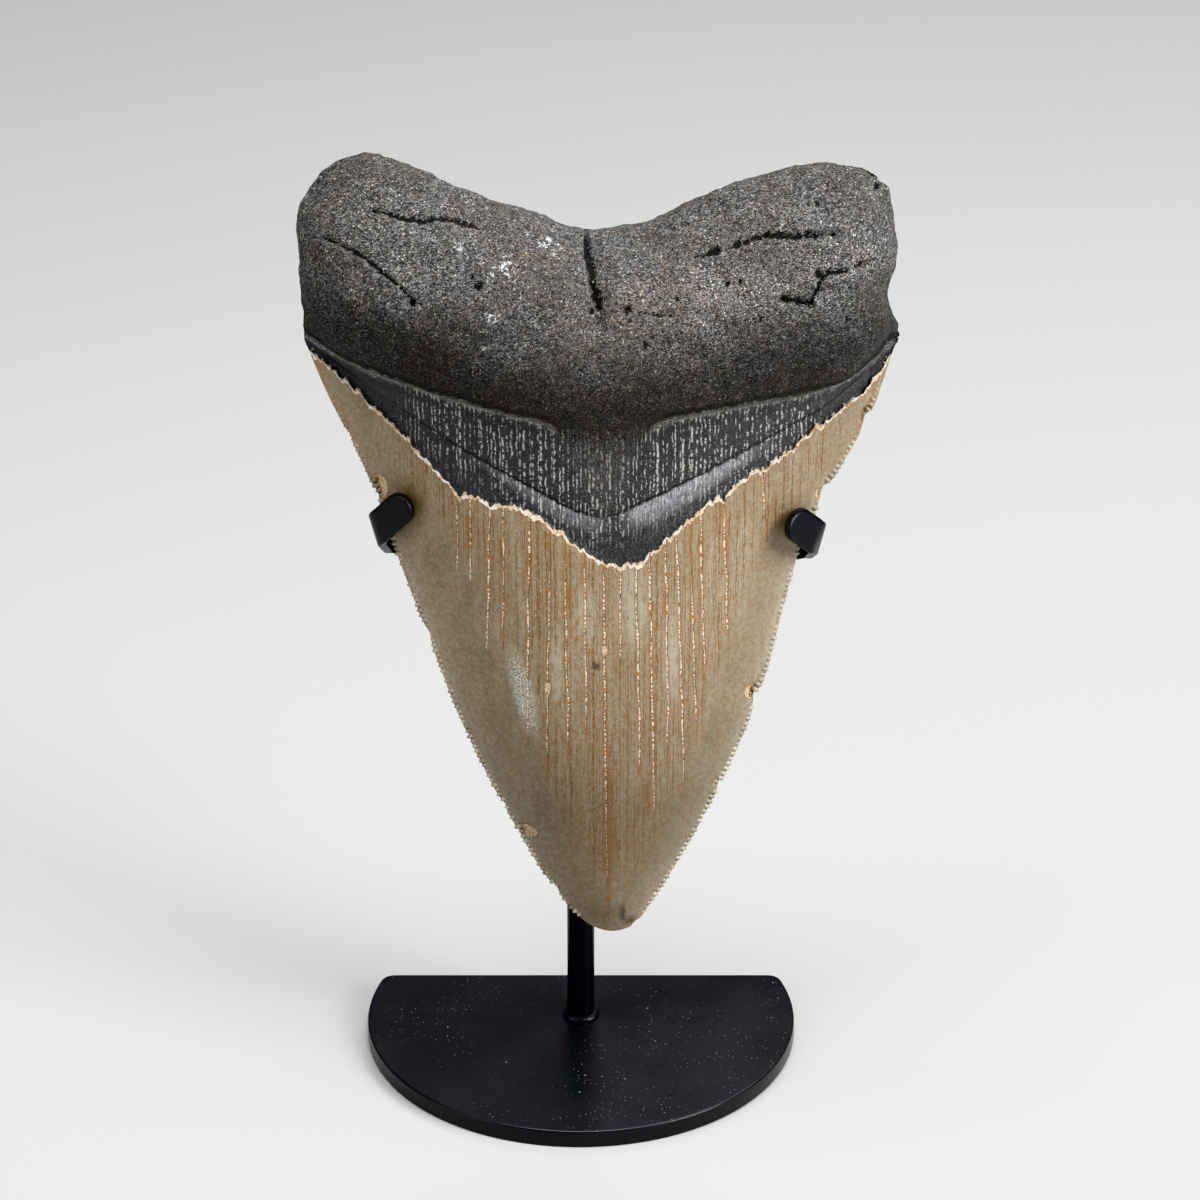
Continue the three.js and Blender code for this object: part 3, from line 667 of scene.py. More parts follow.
    def finish(
        self, colour: Union[Colour, Socket], roughness: Value, normal: Union[Socket, None] = None
    ) -> None:
        """Feeds the shader its colour, its roughness and, where one is given, its normal."""
        self.feed(self.shader.inputs["Base Color"], colour)
        self.feed(self.shader.inputs["Roughness"], roughness)
        if normal is not None:
            self.feed(self.shader.inputs["Normal"], normal)


@dataclass(frozen=True)
class FossilFinish:
    """The tooth's surface: cracked tan enamel, a dark smooth band over it, and a sandy dark root.

    The patterns are drawn in millimetres of the tooth's own frame, over the fields kept in its mesh.
    """

    # The root's stone, from its darkest grains to its palest, and the black of the painted shade in the
    # groove at its foot and in its cracks and pits
    root_dark: Colour = (0.016, 0.016, 0.0165)
    root_middle: Colour = (0.098, 0.097, 0.096)
    root_light: Colour = (0.275, 0.272, 0.265)
    root_brown: Colour = (0.170, 0.135, 0.106)
    root_orange: Colour = (0.42, 0.25, 0.14)
    pale_grain: Colour = (0.62, 0.58, 0.52)
    white_grain: Colour = (0.80, 0.82, 0.84)
    foot_shade: Colour = (0.008, 0.008, 0.008)
    open_black: Colour = (0.004, 0.004, 0.004)
    # The band between root and enamel: its ridge, partly a painted highlight; its dark ground, also the
    # painted shadow under the root's edge; its grain and light lines; the painted highlight under its
    # crease; and the painted shade in the crease
    ridge: Colour = (0.33, 0.32, 0.29)
    band_dark: Colour = (0.020, 0.021, 0.023)
    band_grain: Colour = (0.068, 0.068, 0.071)
    band_light: Colour = (0.56, 0.55, 0.51)
    band_painted_sheen: Colour = (0.37, 0.38, 0.40)
    crease_black: Colour = (0.006, 0.006, 0.007)
    # The enamel's ground
    enamel_margin: Colour = (0.222, 0.186, 0.122)
    enamel_middle: Colour = (0.308, 0.257, 0.170)
    enamel_pale: Colour = (0.345, 0.317, 0.240)
    near_edge: Colour = (0.33, 0.29, 0.21)
    at_edge: Colour = (0.44, 0.41, 0.34)
    warm_corner: Colour = (0.43, 0.27, 0.125)
    bleach: Colour = (0.43, 0.41, 0.33)
    low_brown: Colour = (0.150, 0.080, 0.026)
    # The enamel's lines and marks, among them the painted shade beside its cracks and its painted glint
    streak: Colour = (0.180, 0.078, 0.020)
    stain: Colour = (0.32, 0.132, 0.031)
    rust: Colour = (0.265, 0.118, 0.029)
    mineral: Colour = (0.88, 0.84, 0.76)
    broken: Colour = (0.66, 0.47, 0.27)
    flake_face: Colour = (0.74, 0.59, 0.40)
    dark_line: Colour = (0.060, 0.030, 0.012)
    painted_glint_dots: Colour = (0.60, 0.69, 0.66)
    smudge: Colour = (0.05, 0.04, 0.035)
    # Large and small grains of the root in a millimetre
    grains: float = 4.4
    small_grains: float = 8.3
    # Depths in millimetres of each part's relief, and how far the enamel stands over the band
    root_relief: float = 0.34
    band_relief: float = 0.18
    enamel_relief: float = 0.09
    lip_relief: float = 0.14
    enamel_rise: float = 0.12
    # Roughness of each part; the enamel's varies between two
    root_rough: float = 0.80
    band_rough: float = 0.42
    enamel_rough: tuple[float, float] = (0.34, 0.48)

    def root_ground(self, g: Graph, coarse: Socket) -> tuple[Socket, Socket, Socket]:
        """The sand that the root is made of, darkened by the root's painted shade.

        Args:
            g: The material.
            coarse: Noise of about a millimetre or two.

        Returns:
            Its colour, the height of its grains, and each large grain's lot.
        """
        away, lot, tint, rare = g.cells(g.point, self.grains)
        away_small, lot_small, _, _ = g.cells(g.point, self.small_grains)
        broad = g.noise(g.point, 0.085, 2, 0.5)
        level = g.math("ADD", g.math("POWER", lot, 2.4), g.times(g.math("POWER", lot_small, 3.0), 0.5))
        level = g.times(level, g.between(g.step(coarse, 0.3, 0.72), 1.18, 0.72))
        colour = g.blend(g.step(level, 0.02, 0.40), self.root_dark, self.root_middle)
        colour = g.blend(g.step(level, 0.35, 1.15), colour, self.root_light)
        warm = g.times(g.step(broad, 0.42, 0.60), g.attribute("warm"), g.step(level, 0.0, 0.3))
        colour = g.blend(g.times(warm, 0.45), colour, self.root_brown)
        orange = g.math("ADD", 0.05, g.times(g.attribute("warm"), 0.5))
        colour = g.blend(g.times(g.step(tint, 0.93, 0.96), orange), colour, self.root_orange)
        colour = g.blend(g.times(g.step(rare, 0.975, 0.985), 0.8), colour, self.pale_grain)
        # painted shade from the shade field, with a broad random change of tone
        dim = g.times(g.attribute("shade"), g.between(g.step(broad, 0.3, 0.7), 1.12, 0.85))
        colour = g.darkened(colour, dim, dim, dim)
        small = g.times(g.math("SUBTRACT", 0.6, away_small), 0.4)
        domes = g.math("ADD", g.math("SUBTRACT", 0.6, away), small)
        return colour, g.math("ADD", domes, g.times(coarse, 1.8)), lot

    def root_colour(self, g: Graph) -> tuple[Socket, Socket]:
        """The sandy root with painted shade in the groove at its foot, white grains, and open cracks and
        pits painted black as shade.

        Args:
            g: The material.

        Returns:
            Its colour and its bump height.
        """
        coarse = g.noise(g.point, 0.6, 3, 0.66)
        colour, height, lot = self.root_ground(g, coarse)
        ledge = g.math("ADD", g.attribute("ledge"), g.around(coarse, 2.0))
        # painted shade in the groove just above the root's lower edge, on the sides
        groove = g.step(g.math("ABSOLUTE", g.math("SUBTRACT", ledge, 1.35)), 1.0, 0.2)
        crisp = g.rest(g.attribute("soft"))
        colour = g.blend(g.times(groove, crisp, 0.72), colour, self.foot_shade)

        grain = g.step(g.noise(g.point, 1.35, 3, 0.75), 0.55, 0.585)
        white = g.times(g.step(g.attribute("grains"), 0.05, 0.55), grain)
        colour = g.blend(white, colour, self.white_grain)
        wound = g.math("ADD", g.attribute("wound"), g.around(g.noise(g.point, 1.7, 2, 0.8), 3.0))
        # open cracks: painted black as the shade inside them
        open_crack = g.step(wound, 0.05, 0.45)
        beside = g.step(g.math("ABSOLUTE", g.math("ADD", wound, 0.75)), 0.7, 0.1)
        crumbled = g.times(beside, g.step(lot, 0.2, 0.7))
        colour = g.blend(g.times(crumbled, 0.35), colour, self.root_light)
        # small pits, painted black as the shade inside them
        pit_away, pit_lot, _, _ = g.cells(g.point, 0.27)
        pit = g.step(g.math("ADD", pit_away, g.around(coarse, 0.10)), 0.15, 0.07)
        pit = g.times(pit, g.step(pit_lot, 0.62, 0.66))
        open_crack = g.math("MAXIMUM", open_crack, g.times(pit, 0.8))
        colour = g.blend(g.times(open_crack, 0.95), colour, self.open_black)
        height = g.math("SUBTRACT", height, g.times(open_crack, 1.2))
        height = g.math("SUBTRACT", height, g.times(crisp, groove, 1.6))
        return colour, height

    def band_colour(self, g: Graph) -> tuple[Socket, Socket]:
        """The dark smooth band between the enamel and the root, with its light upright lines, a painted
        highlight on the slope under the crease, and painted shade in the crease.

        Args:
            g: The material.

        Returns:
            Its colour and its bump height.
        """
        x, _, z = g.split(g.point)
        fine = g.noise(g.point, 3.2, 2, 0.7)
        scratches = g.noise(g.join(g.times(x, 3.0), 0.0, g.times(z, 0.9)), 1.0, 3, 0.6)
        beads = g.step(g.noise(g.point, 1.6, 3, 0.75), 0.42, 0.54)
        comb = g.comb(x, z, pitch=0.70, width=0.17, length=2.2, share=0.55, wave=0.55)
        line = g.times(comb, g.between(beads, 0.06, 1.0), g.attribute("combed"))
        # painted highlight on the slope under the crease, broken up by the scratches
        painted_sheen = g.times(g.attribute("painted_sheen"), g.between(g.step(scratches, 0.35, 0.62), 0.25, 1.0))
        colour = g.blend(g.step(fine, 0.38, 0.72), self.band_dark, self.band_grain)
        colour = g.blend(painted_sheen, colour, self.band_painted_sheen)
        colour = g.blend(g.times(line, g.between(scratches, 0.5, 1.2)), colour, self.band_light)
        # painted shade in the crease
        shake = g.around(g.noise(g.point, 0.9, 3, 0.7), 2.2)
        crease = g.step(g.math("ABSOLUTE", g.math("ADD", g.attribute("crease"), shake)), 0.40, 0.10)
        colour = g.blend(g.times(crease, g.attribute("creased"), 0.9), colour, self.crease_black)
        height = g.math("ADD", g.times(fine, 0.9), g.times(scratches, g.attribute("painted_sheen"), 1.4))
        return colour, height

    def enamel_ground(self, g: Graph, speckle: Socket, cloud: Socket) -> Socket:
        """The enamel's plain ground: tan in the middle, greyer at its margins, finely speckled.

        Args:
            g: The material.
            speckle: Fine noise.
            cloud: Broad noise, drawn out along the tooth.

        Returns:
            Its colour.
        """
        middle, edge = g.attribute("middle"), g.attribute("edge")
        _, _, z = g.split(g.point)
        colour = g.blend(middle, self.enamel_margin, self.enamel_middle)
        pale = g.times(g.step(cloud, 0.45, 0.60), g.between(middle, 0.3, 0.85))
        colour = g.blend(pale, colour, self.enamel_pale)
        colour = g.blend(g.times(g.step(edge, 6.5, 1.5), g.rest(middle), 0.6), colour, self.near_edge)
        colour = g.blend(g.times(g.step(edge, 2.6, 0.5), g.step(z, 88.0, 76.0), 0.5), colour, self.at_edge)
        colour = g.blend(g.times(g.attribute("warm_edge"), 0.75), colour, self.warm_corner)
        mottle = g.noise(g.point, 1.15, 2, 0.8)
        dust = g.step(g.noise(g.point, 1.9, 2, 0.75), 0.55, 0.61)
        colour = g.blend(g.times(g.step(speckle, 0.52, 0.70), 0.55), colour, self.streak)
        colour = g.blend(g.times(g.step(speckle, 0.44, 0.30), 0.35), colour, self.enamel_pale)
        colour = g.blend(g.times(g.step(mottle, 0.44, 0.64), 0.30), colour, self.streak)
        colour = g.blend(g.times(g.step(mottle, 0.50, 0.34), 0.30), colour, self.enamel_pale)
        dusty = g.times(dust, g.between(g.step(cloud, 0.42, 0.58), 0.35, 1.0), 0.5)
        return g.blend(dusty, colour, self.stain)

    def hairlines(self, g: Graph, cloud: Socket, colour: Socket) -> Socket:
        """Draws the enamel's brown grain and hairlines, which run along the tooth.

        Args:
            g: The material.
            cloud: Broad noise, drawn out along the tooth.
            colour: The colour under them.

        Returns:
            The colour with them.
        """
        x, _, z = g.split(g.point)
        spread = g.step(g.math("ADD", g.attribute("middle"), g.around(cloud, 1.2)), 0.15, 0.85)
        fine = g.comb(x, z, pitch=0.47, width=0.10, length=8.0, share=0.66)
        long = g.comb(g.math("ADD", x, 7.3), z, pitch=1.3, width=0.16, length=26.0, share=0.62)
        dots = g.noise(g.join(x, 6.0, g.times(z, 0.7)), 2.6, 2, 0.7)
        dotted = g.between(g.step(dots, 0.38, 0.58), 0.25, 1.0)
        hairs = g.times(g.math("MAXIMUM", g.times(fine, 0.7), long), dotted, spread)
        grain = g.noise(g.join(g.times(x, 5.0), 2.0, g.times(z, 0.4)), 1.0, 2, 0.6)
        colour = g.blend(g.times(g.step(grain, 0.48, 0.66), spread, 0.28), colour, self.streak)
        return g.blend(g.times(hairs, 0.9), colour, self.streak)

    def filled_cracks(self, g: Graph, blots: Socket, colour: Socket) -> tuple[Socket, Socket]:
        """Draws the enamel's cracks: a rusty halo, a dark line of painted shade beside each, and pale
        mineral in it.

        Args:
            g: The material.
            blots: Noise of about a millimetre or two, drawn out along the tooth.
            colour: The colour under them.

        Returns:
            The colour with them, and the distance to the nearest crack in millimetres.
        """
        x, _, z = g.split(g.point)
        front = g.step(g.attribute("side"), -0.2, 0.2)
        phase = g.math("ADD", g.attribute("phase"), 0.5)
        signed = g.times(g.math("SUBTRACT", g.math("FRACT", phase), 0.5), g.attribute("gap"))
        shake = g.noise(g.join(g.times(x, 0.4), 1.0, z), 1.3, 3, 0.65)
        signed = g.math("ADD", signed, g.around(shake, 0.5))
        away = g.math("ABSOLUTE", signed)
        white, brown = g.attribute("white"), g.times(g.attribute("brown"), front)
        halo = g.times(g.step(away, 0.68, 0.05), g.step(blots, 0.42, 0.58), brown)
        colour = g.blend(g.times(halo, 0.85), colour, self.stain)
        # painted shade of a groove beside each crack, tinted brown
        groove = g.times(g.step(g.math("ABSOLUTE", g.math("SUBTRACT", signed, 0.13)), 0.15, 0.04), brown)
        colour = g.blend(g.times(groove, g.step(blots, 0.60, 0.46), 0.65), colour, self.dark_line)
        breaks = g.noise(g.join(g.times(x, 0.5), 8.0, g.times(z, 1.8)), 1.0, 3, 0.85)
        thick = g.times(g.between(g.step(blots, 0.38, 0.66), 0.01, 0.13), white)
        filled = g.times(g.step(g.math("SUBTRACT", away, thick), 0.09, 0.0), g.step(breaks, 0.47, 0.53))
        filled = g.times(filled, g.step(white, 0.0, 0.35))
        tone = g.blend(g.step(shake, 0.30, 0.46), self.broken, self.mineral)
        return g.blend(g.times(filled, 0.95), colour, tone), away

    def flakes(self, g: Graph, speckle: Socket, colour: Socket) -> tuple[Socket, Socket]:
        """Draws the places where the enamel has flaked off, and its broken fringe at the cutting edge.

        Args:
            g: The material.
            speckle: Fine noise.
            colour: The colour under them.

        Returns:
            The colour with them, and 1 where a flake is off.
        """
        ragged = g.math("ADD", g.attribute("flake"), g.around(speckle, 0.9))
        flaked = g.step(ragged, 0.0, 0.10)
        colour = g.blend(g.times(g.step(ragged, -0.22, 0.0), g.rest(flaked), 0.6), colour, self.streak)
        tone = g.blend(g.step(speckle, 0.32, 0.58), self.stain, self.flake_face)
        colour = g.blend(g.times(flaked, 0.92), colour, tone)
        torn = g.step(g.noise(g.point, 0.7, 3, 0.6), 0.42, 0.56)
        fringe = g.times(g.step(g.attribute("edge"), 1.0, 0.1), torn)
        tone = g.blend(g.step(g.noise(g.point, 0.33, 2), 0.45, 0.6), self.stain, self.broken)
        return g.blend(g.times(fringe, 0.45), colour, tone), flaked

    def enamel_colour(self, g: Graph) -> tuple[Socket, Socket]:
        """The enamel: its ground, hairlines, bleached and rusty places, cracks, spots, painted glint and
        flakes, with painted shade towards the tip.

        Args:
            g: The material.

        Returns:
            Its colour and its bump height.
        """
        x, _, z = g.split(g.point)
        speckle = g.noise(g.point, 3.6, 2, 0.75)
        cloud = g.noise(g.join(g.times(x, 0.24), 0.0, g.times(z, 0.085)), 1.0, 3, 0.62)
        blots = g.noise(g.join(g.times(x, 0.9), 3.0, g.times(z, 0.45)), 1.0, 3, 0.7)
        colour = self.enamel_ground(g, speckle, cloud)
        colour = self.hairlines(g, cloud, colour)
        bleached = g.times(g.step(g.attribute("bleached"), -0.25, 0.6), g.step(blots, 0.34, 0.56))
        colour = g.blend(g.times(bleached, 0.6), colour, self.bleach)
        rusty = g.math("ADD", g.attribute("rust"), g.around(speckle, 2.2))
        colour = g.blend(g.times(g.step(rusty, -0.1, 0.6), 0.8), colour, self.rust)
        colour, to_crack = self.filled_cracks(g, blots, colour)

        # painted glint: a reflection of the light, stippled in pale dots
        dots = g.step(g.noise(g.point, 4.4, 2, 0.6), 0.47, 0.55)
        painted_glint = g.times(g.step(g.attribute("pale"), -0.15, 0.65), g.step(to_crack, 0.05, 0.3), dots)
        colour = g.blend(g.times(painted_glint, 0.9), colour, self.painted_glint_dots)
        smudged = g.math("ADD", g.attribute("dark"), g.around(speckle, 2.2))
        colour = g.blend(g.times(g.step(smudged, -0.1, 0.6), 0.8), colour, self.smudge)
        colour, flaked = self.flakes(g, speckle, colour)

        lower = g.times(g.step(z, 46.0, 10.0), g.attribute("middle"))
        browned = g.times(lower, g.between(g.step(speckle, 0.4, 0.6), 0.5, 1.0), 0.45)
        colour = g.blend(browned, colour, self.low_brown)
        # painted shade: darker from the upper crown down towards the tip, a little lighter at the tip
        # itself
        low = g.math("ADD", g.between(g.step(z, 2.0, 60.0), 0.52, 1.0), g.times(g.step(z, 26.0, 5.0), 0.22))
        colour = g.darkened(colour, low, g.times(low, 0.99), g.times(low, 0.96))
        return colour, g.math("SUBTRACT", g.times(speckle, 0.4), g.times(flaked, 0.8))

    def stone(self, g: Graph, bare: Socket) -> tuple[Socket, Socket, Socket]:
        """The root and the band with the ridge between them, partly painted highlight, and the painted
        shadow under the root's edge.

        Args:
            g: The material.
            bare: 1 where there is no enamel.

        Returns:
            Its colour, its height and its roughness.
        """
        root, root_height = self.root_colour(g)
        band, band_height = self.band_colour(g)
        soft = g.attribute("soft")
        ledge = g.math("DIVIDE", g.attribute("ledge"), g.math("MULTIPLY_ADD", soft, 7.0, 0.3))
        ledge = g.math("ADD", ledge, g.times(g.around(g.noise(g.point, 2.1, 2, 0.8), 4.5), soft))
        rooted = g.times(g.step(ledge, -0.5, 0.5), g.attribute("fade"))
        shaken = g.math("ADD", g.attribute("ledge"), g.around(g.noise(g.point, 0.75, 2, 0.8), 2.2))
        crisp = g.step(soft, 0.75, 0.25)
        # painted shadow under the root's overhanging lower edge, drawn on the band
        under = g.times(g.step(g.math("ABSOLUTE", g.math("ADD", shaken, 1.7)), 0.7, 0.15), crisp, bare)
        # the crest at the root's foot: partly its own paler stone, partly a painted highlight where the
        # light falls
        crest = g.step(g.math("ABSOLUTE", g.math("SUBTRACT", shaken, 0.15)), 1.0, 0.25)
        worn = g.between(g.step(g.noise(g.point, 2.4, 2, 0.7), 0.42, 0.60), 0.10, 1.0)
        colour = g.blend(rooted, band, root)
        colour = g.blend(g.times(under, 0.7), colour, self.band_dark)
        colour = g.blend(g.times(crest, crisp, bare, worn, 0.9), colour, self.ridge)
        reliefs = g.times(band_height, self.band_relief), g.times(root_height, self.root_relief)
        return colour, g.between(rooted, *reliefs), g.between(rooted, self.band_rough, self.root_rough)

    def material(self) -> bpy.types.Material:
        """The whole tooth's material."""
        g = Graph("fossil_tooth", "place")
        torn = g.noise(g.point, 1.1, 3, 0.68)
        above = g.math("ADD", g.attribute("enamel"), g.around(torn, 0.8))
        bare = g.step(above, -0.04, 0.04)
        stone, stone_height, stone_rough = self.stone(g, bare)
        enamel, enamel_height = self.enamel_colour(g)

        crust = g.times(g.step(g.noise(g.point, 0.8, 2, 0.7), 0.40, 0.64), 0.34)
        lip = g.math("SUBTRACT", g.math("ABSOLUTE", g.math("ADD", above, 0.22)), crust)
        lip = g.times(g.step(lip, 0.27, 0.08), g.between(g.step(torn, 0.30, 0.46), 0.45, 1.0))
        glow = g.times(g.step(above, -1.5, -0.1), g.step(torn, 0.42, 0.62), g.rest(bare))
        enamel = g.blend(g.times(glow, 0.65), enamel, self.stain)
        lip_tone = g.blend(g.step(g.noise(g.point, 0.9, 2), 0.40, 0.58), self.broken, self.mineral)
        colour = g.blend(g.times(lip, 0.92), g.blend(bare, enamel, stone), lip_tone)

        enamel_rough = g.between(g.step(g.noise(g.point, 2.6, 2), 0.4, 0.7), *self.enamel_rough)
        relief = g.math("ADD", g.times(enamel_height, self.enamel_relief), g.times(lip, self.lip_relief))
        height = g.between(bare, g.math("ADD", relief, self.enamel_rise), stone_height)
        g.finish(colour, g.between(bare, enamel_rough, stone_rough), g.bump(height, MM))
        return g.material


@dataclass(frozen=True)
class SerrationFinish:
    """The small teeth of the cutting edge: tan enamel in paler patches, with fine stained specks."""

    body: Colour = (0.30, 0.26, 0.19)
    tip: Colour = (0.50, 0.45, 0.36)
    stain: Colour = (0.12, 0.06, 0.02)

    def material(self) -> bpy.types.Material:
        """The serrations' material."""
        g = Graph("serration_enamel")
        cloud = g.noise(g.point, 320, 3, 0.6)
        fine = g.noise(g.point, 1900, 2, 0.6)
        colour = g.blend(g.step(cloud, 0.40, 0.64), self.body, self.tip)
        colour = g.blend(g.times(g.step(fine, 0.5, 0.72), 0.5), colour, self.stain)
        g.finish(colour, g.between(fine, 0.32, 0.5), g.bump(fine, 0.00006))
        return g.material


@dataclass(frozen=True)
class BlackCoat:
    """Black satin coating on steel, with a fine orange peel and, on flat tops, settled dust."""

    name: str
    coat: Colour = (0.006, 0.0065, 0.008)
    roughness: float = 0.34
    shine: float = 0.35
    dust: float = 0.0
    worn_coat: Colour = (0.010, 0.0105, 0.012)
    dust_colour: Colour = (0.22, 0.23, 0.245)
    dust_roughness: float = 0.85
    # How far the specks' outlines are shaken, in metres
    dust_shake: float = 0.00022

    def material(self) -> bpy.types.Material:
        """The coating's material."""
        g = Graph(self.name)
        peel = g.noise(g.point, 900, 2, 0.5)
        cloud = g.noise(g.point, 55, 3, 0.6)
        colour = g.blend(g.step(cloud, 0.4, 0.7), self.coat, self.worn_coat)
        rough = g.between(cloud, self.roughness - 0.05, self.roughness + 0.08)
        if self.dust:
            facing = g.split(g.node("NewGeometry", {}).outputs["Normal"])[2]
            flat = g.step(facing, 0.9, 0.99)
            where = g.noise(g.point, 90, 3, 0.7)
            shake = g.node("TexNoise", {"Vector": g.point, "Scale": 5200.0, "Detail": 1.0}).outputs["Color"]
            shaken = {0: shake, 1: (self.dust_shake,) * 3, 2: g.point}
            bent = g.node("VectorMath", shaken, operation="MULTIPLY_ADD").outputs[0]
            small = g.times(g.step(g.cells(bent, 1100)[0], 0.16, 0.05), g.step(where, 0.40, 0.60))
            large = g.times(g.step(g.cells(bent, 330)[0], 0.075, 0.02), g.step(where, 0.48, 0.55))
            specks = g.times(g.math("MAXIMUM", small, large), flat, self.dust)
            film = g.times(g.step(where, 0.5, 0.8), flat, 0.012 * self.dust)
            colour = g.blend(g.math("MAXIMUM", specks, film), colour, self.dust_colour)
            rough = g.between(specks, rough, self.dust_roughness)
        g.finish(colour, rough, g.bump(peel, 0.000012))
        g.feed(g.shader.inputs["Specular IOR Level"], self.shine)
        return g.material


@dataclass
class Tooth:
    """The tooth as one closed, finely modelled body, with its serrations along both cutting edges."""

    form: ToothForm = field(default_factory=ToothForm)
    marks: Marks = field(default_factory=Marks)
    columns: int = 356
    front_rows: tuple = (82, 12, 22, 90)
    back_rows: tuple = (28, 18)
    # How much closer the columns stand towards both sides, and the last rows towards the top
    column_crowding: float = 0.25
    row_crowding: float = 1.4
    least_row_gap: float = 0.02
    # Swells of the root's surface, and those of the crown, as (height, size, octaves)
    root_swells: tuple = ((0.60, 11, 2), (0.30, 3.3, 2), (0.12, 0.95, 2))
    crown_swell: tuple = (0.05, 1.7, 2)
    wound_depth: float = 0.75
    # The long hollow beside each cutting edge: depth, distance from the edge, half width
    margin_hollow: tuple = (0.30, 6.5, 2.4)
    # The serrations: how far apart, how deep the edge is set back under them, and one's half sizes along
    # the edge, across it and through it
    serration_pitch: float = 0.95
    serration_inset: float = 0.24
    bead: tuple = (0.45, 0.94, 0.44)
    bead_forward: float = 0.12
    unevenness: float = 0.17
    roughness: float = 0.20
    # The edge has none this near its tip, and they are worn this strong towards both ends
    tip_at: tuple = (1.0, 0.0)
    plain_tip: float = 3.6
    worn: float = 0.35
    edge_length: float = 255.0
    edge_points: int = 900
    seed: int = 11

    def crossing(self, s: Array, name: str) -> Array:
        """Where columns cross an outline, as shares from the blade to the top, found by halving."""
        below, above = np.zeros(s.shape), np.ones(s.shape)
        for _ in range(24):
            middle = (below + above) / 2
            x, z = self.form.patch(s, middle)
            under = z < self.form.height(name, x)
            below, above = np.where(under, middle, below), np.where(under, above, middle)
        return below

    def rows(self, s: Array, names: Sequence[str], counts: Sequence[int]) -> Array:
        """The heights of the rows of each column.

        Args:
            s: The columns' shares from left to right.
            names: The outlines that rows follow.
            counts: How many rows lie between them.

        Returns:
            Shares from the blade to the top, columns by rows.
        """
        stops = [np.zeros(s.shape)]
        for name in names:
            stops.append(np.maximum(self.crossing(s, name), stops[-1] + self.least_row_gap))
        stops.append(np.ones(s.shape))
        pieces = []
        for band, count in enumerate(counts):
            share = np.arange(count) / count
            if band == len(counts) - 1:
                share = 1 - (1 - share) ** self.row_crowding
            pieces.append(mix(stops[band][:, None], stops[band + 1][:, None], share))
        return np.hstack([*pieces, np.ones((len(s), 1))])

    def edge_strength(self, s: Array) -> Array:
        """How strong the serrations are along the cutting edge: none at the tip, worn towards both ends."""
        from_tip = np.hypot(*(along(self.form.line("blade"), s) - np.array(self.tip_at)).T)
        from_end = np.minimum(s, 1 - s) * self.edge_length
        wear = mix(self.worn, 1, smooth(from_end, 2, 26)) * smooth(from_end, 0, 3)
        return smooth(from_tip, self.plain_tip, 2 * self.plain_tip) * wear

    def edge_frame(self, s: Array) -> tuple[Array, Array]:
        """Points of the cutting edge and the inward direction at each."""
        line = self.form.line("blade")
        before, after = along(line, np.maximum(0, s - 0.002)), along(line, np.minimum(1, s + 0.002))
        ahead = after - before
        ahead /= np.linalg.norm(ahead, axis=-1, keepdims=True)
        return along(line, s), np.stack([-ahead[:, 1], ahead[:, 0]], -1)

    def bite(self, s: Array) -> Array:
        """How far the edge lies inside its outline: under the serrations, and in the chips."""
        point, _ = self.edge_frame(s)
        depth = self.serration_inset * self.edge_strength(s)
        for x, z, width, chip in self.marks.chips:
            depth = depth + chip * np.exp(-(np.hypot(point[:, 0] - x, point[:, 1] - z) / width) ** 2)
        return depth

    def relief(self, place: Array, edge: Array, side: Side) -> Array:
        """The small relief that stands out of the form, in millimetres.

        Args:
            place: Points in the tooth's own frame.
            edge: Their distances from the cutting edge.
            side: Which face they are on.

        Returns:
            How far each point moves out along the surface's normal.
        """
        x, z = place[..., 0], place[..., 2]
        line = "root_edge" if side is Side.FRONT else "back_enamel"
        on_root = smooth(z - self.form.height(line, x), -0.5, 2.5)
        out = on_root * sum(high * lumps(place, size, octaves) for high, size, octaves in self.root_swells)
        high, size, octaves = self.crown_swell
        out = out + (1 - on_root) * high * lumps(place * np.array([1, 1, 0.12]), size, octaves)
        if side is Side.BACK:
            return out
        _, depth = self.marks.wound(x, z)
        flaked = np.zeros(x.shape)
        for spot in self.marks.flakes:
            flaked = np.maximum(flaked, spot[4] * smooth(self.marks.oval(x, z, spot), -0.05, 0.3))
        deep, inside, width = self.margin_hollow
        hollow = deep * np.exp(-(((edge - inside) / width) ** 2)) * smooth(z, 10, 22) * smooth(-z, -78, -60)
        return out - on_root * self.wound_depth * depth - (flaked + hollow) * (1 - on_root)

    def stitch(self, place: Array, low: Array, high: Array) -> list[tuple[int, int, int]]:
        """Triangles between two rows of points that run the same way.

        Args:
            place: All points.
            low: Point numbers of one row.
            high: Point numbers of the other.

        Returns:
            The triangles.
        """
        faces, i, j = [], 0, 0
        while i < len(low) - 1 or j < len(high) - 1:
            step_low = j == len(high) - 1
            if i < len(low) - 1 and not step_low:
                across = np.linalg.norm(place[low[i + 1]] - place[high[j]])
                step_low = across <= np.linalg.norm(place[low[i]] - place[high[j + 1]])
            faces.append((low[i], low[i + 1], high[j]) if step_low else (low[i], high[j + 1], high[j]))
            i, j = (i + 1, j) if step_low else (i, j + 1)
        return faces

    def grid(self, numbers: Array) -> list[tuple[int, int, int, int]]:
        """Four-sided faces between the points of a grid of columns and rows."""
        corners = (numbers[:-1, :-1], numbers[1:, :-1], numbers[1:, 1:], numbers[:-1, 1:])
        return list(zip(*(corner.ravel().tolist() for corner in corners)))

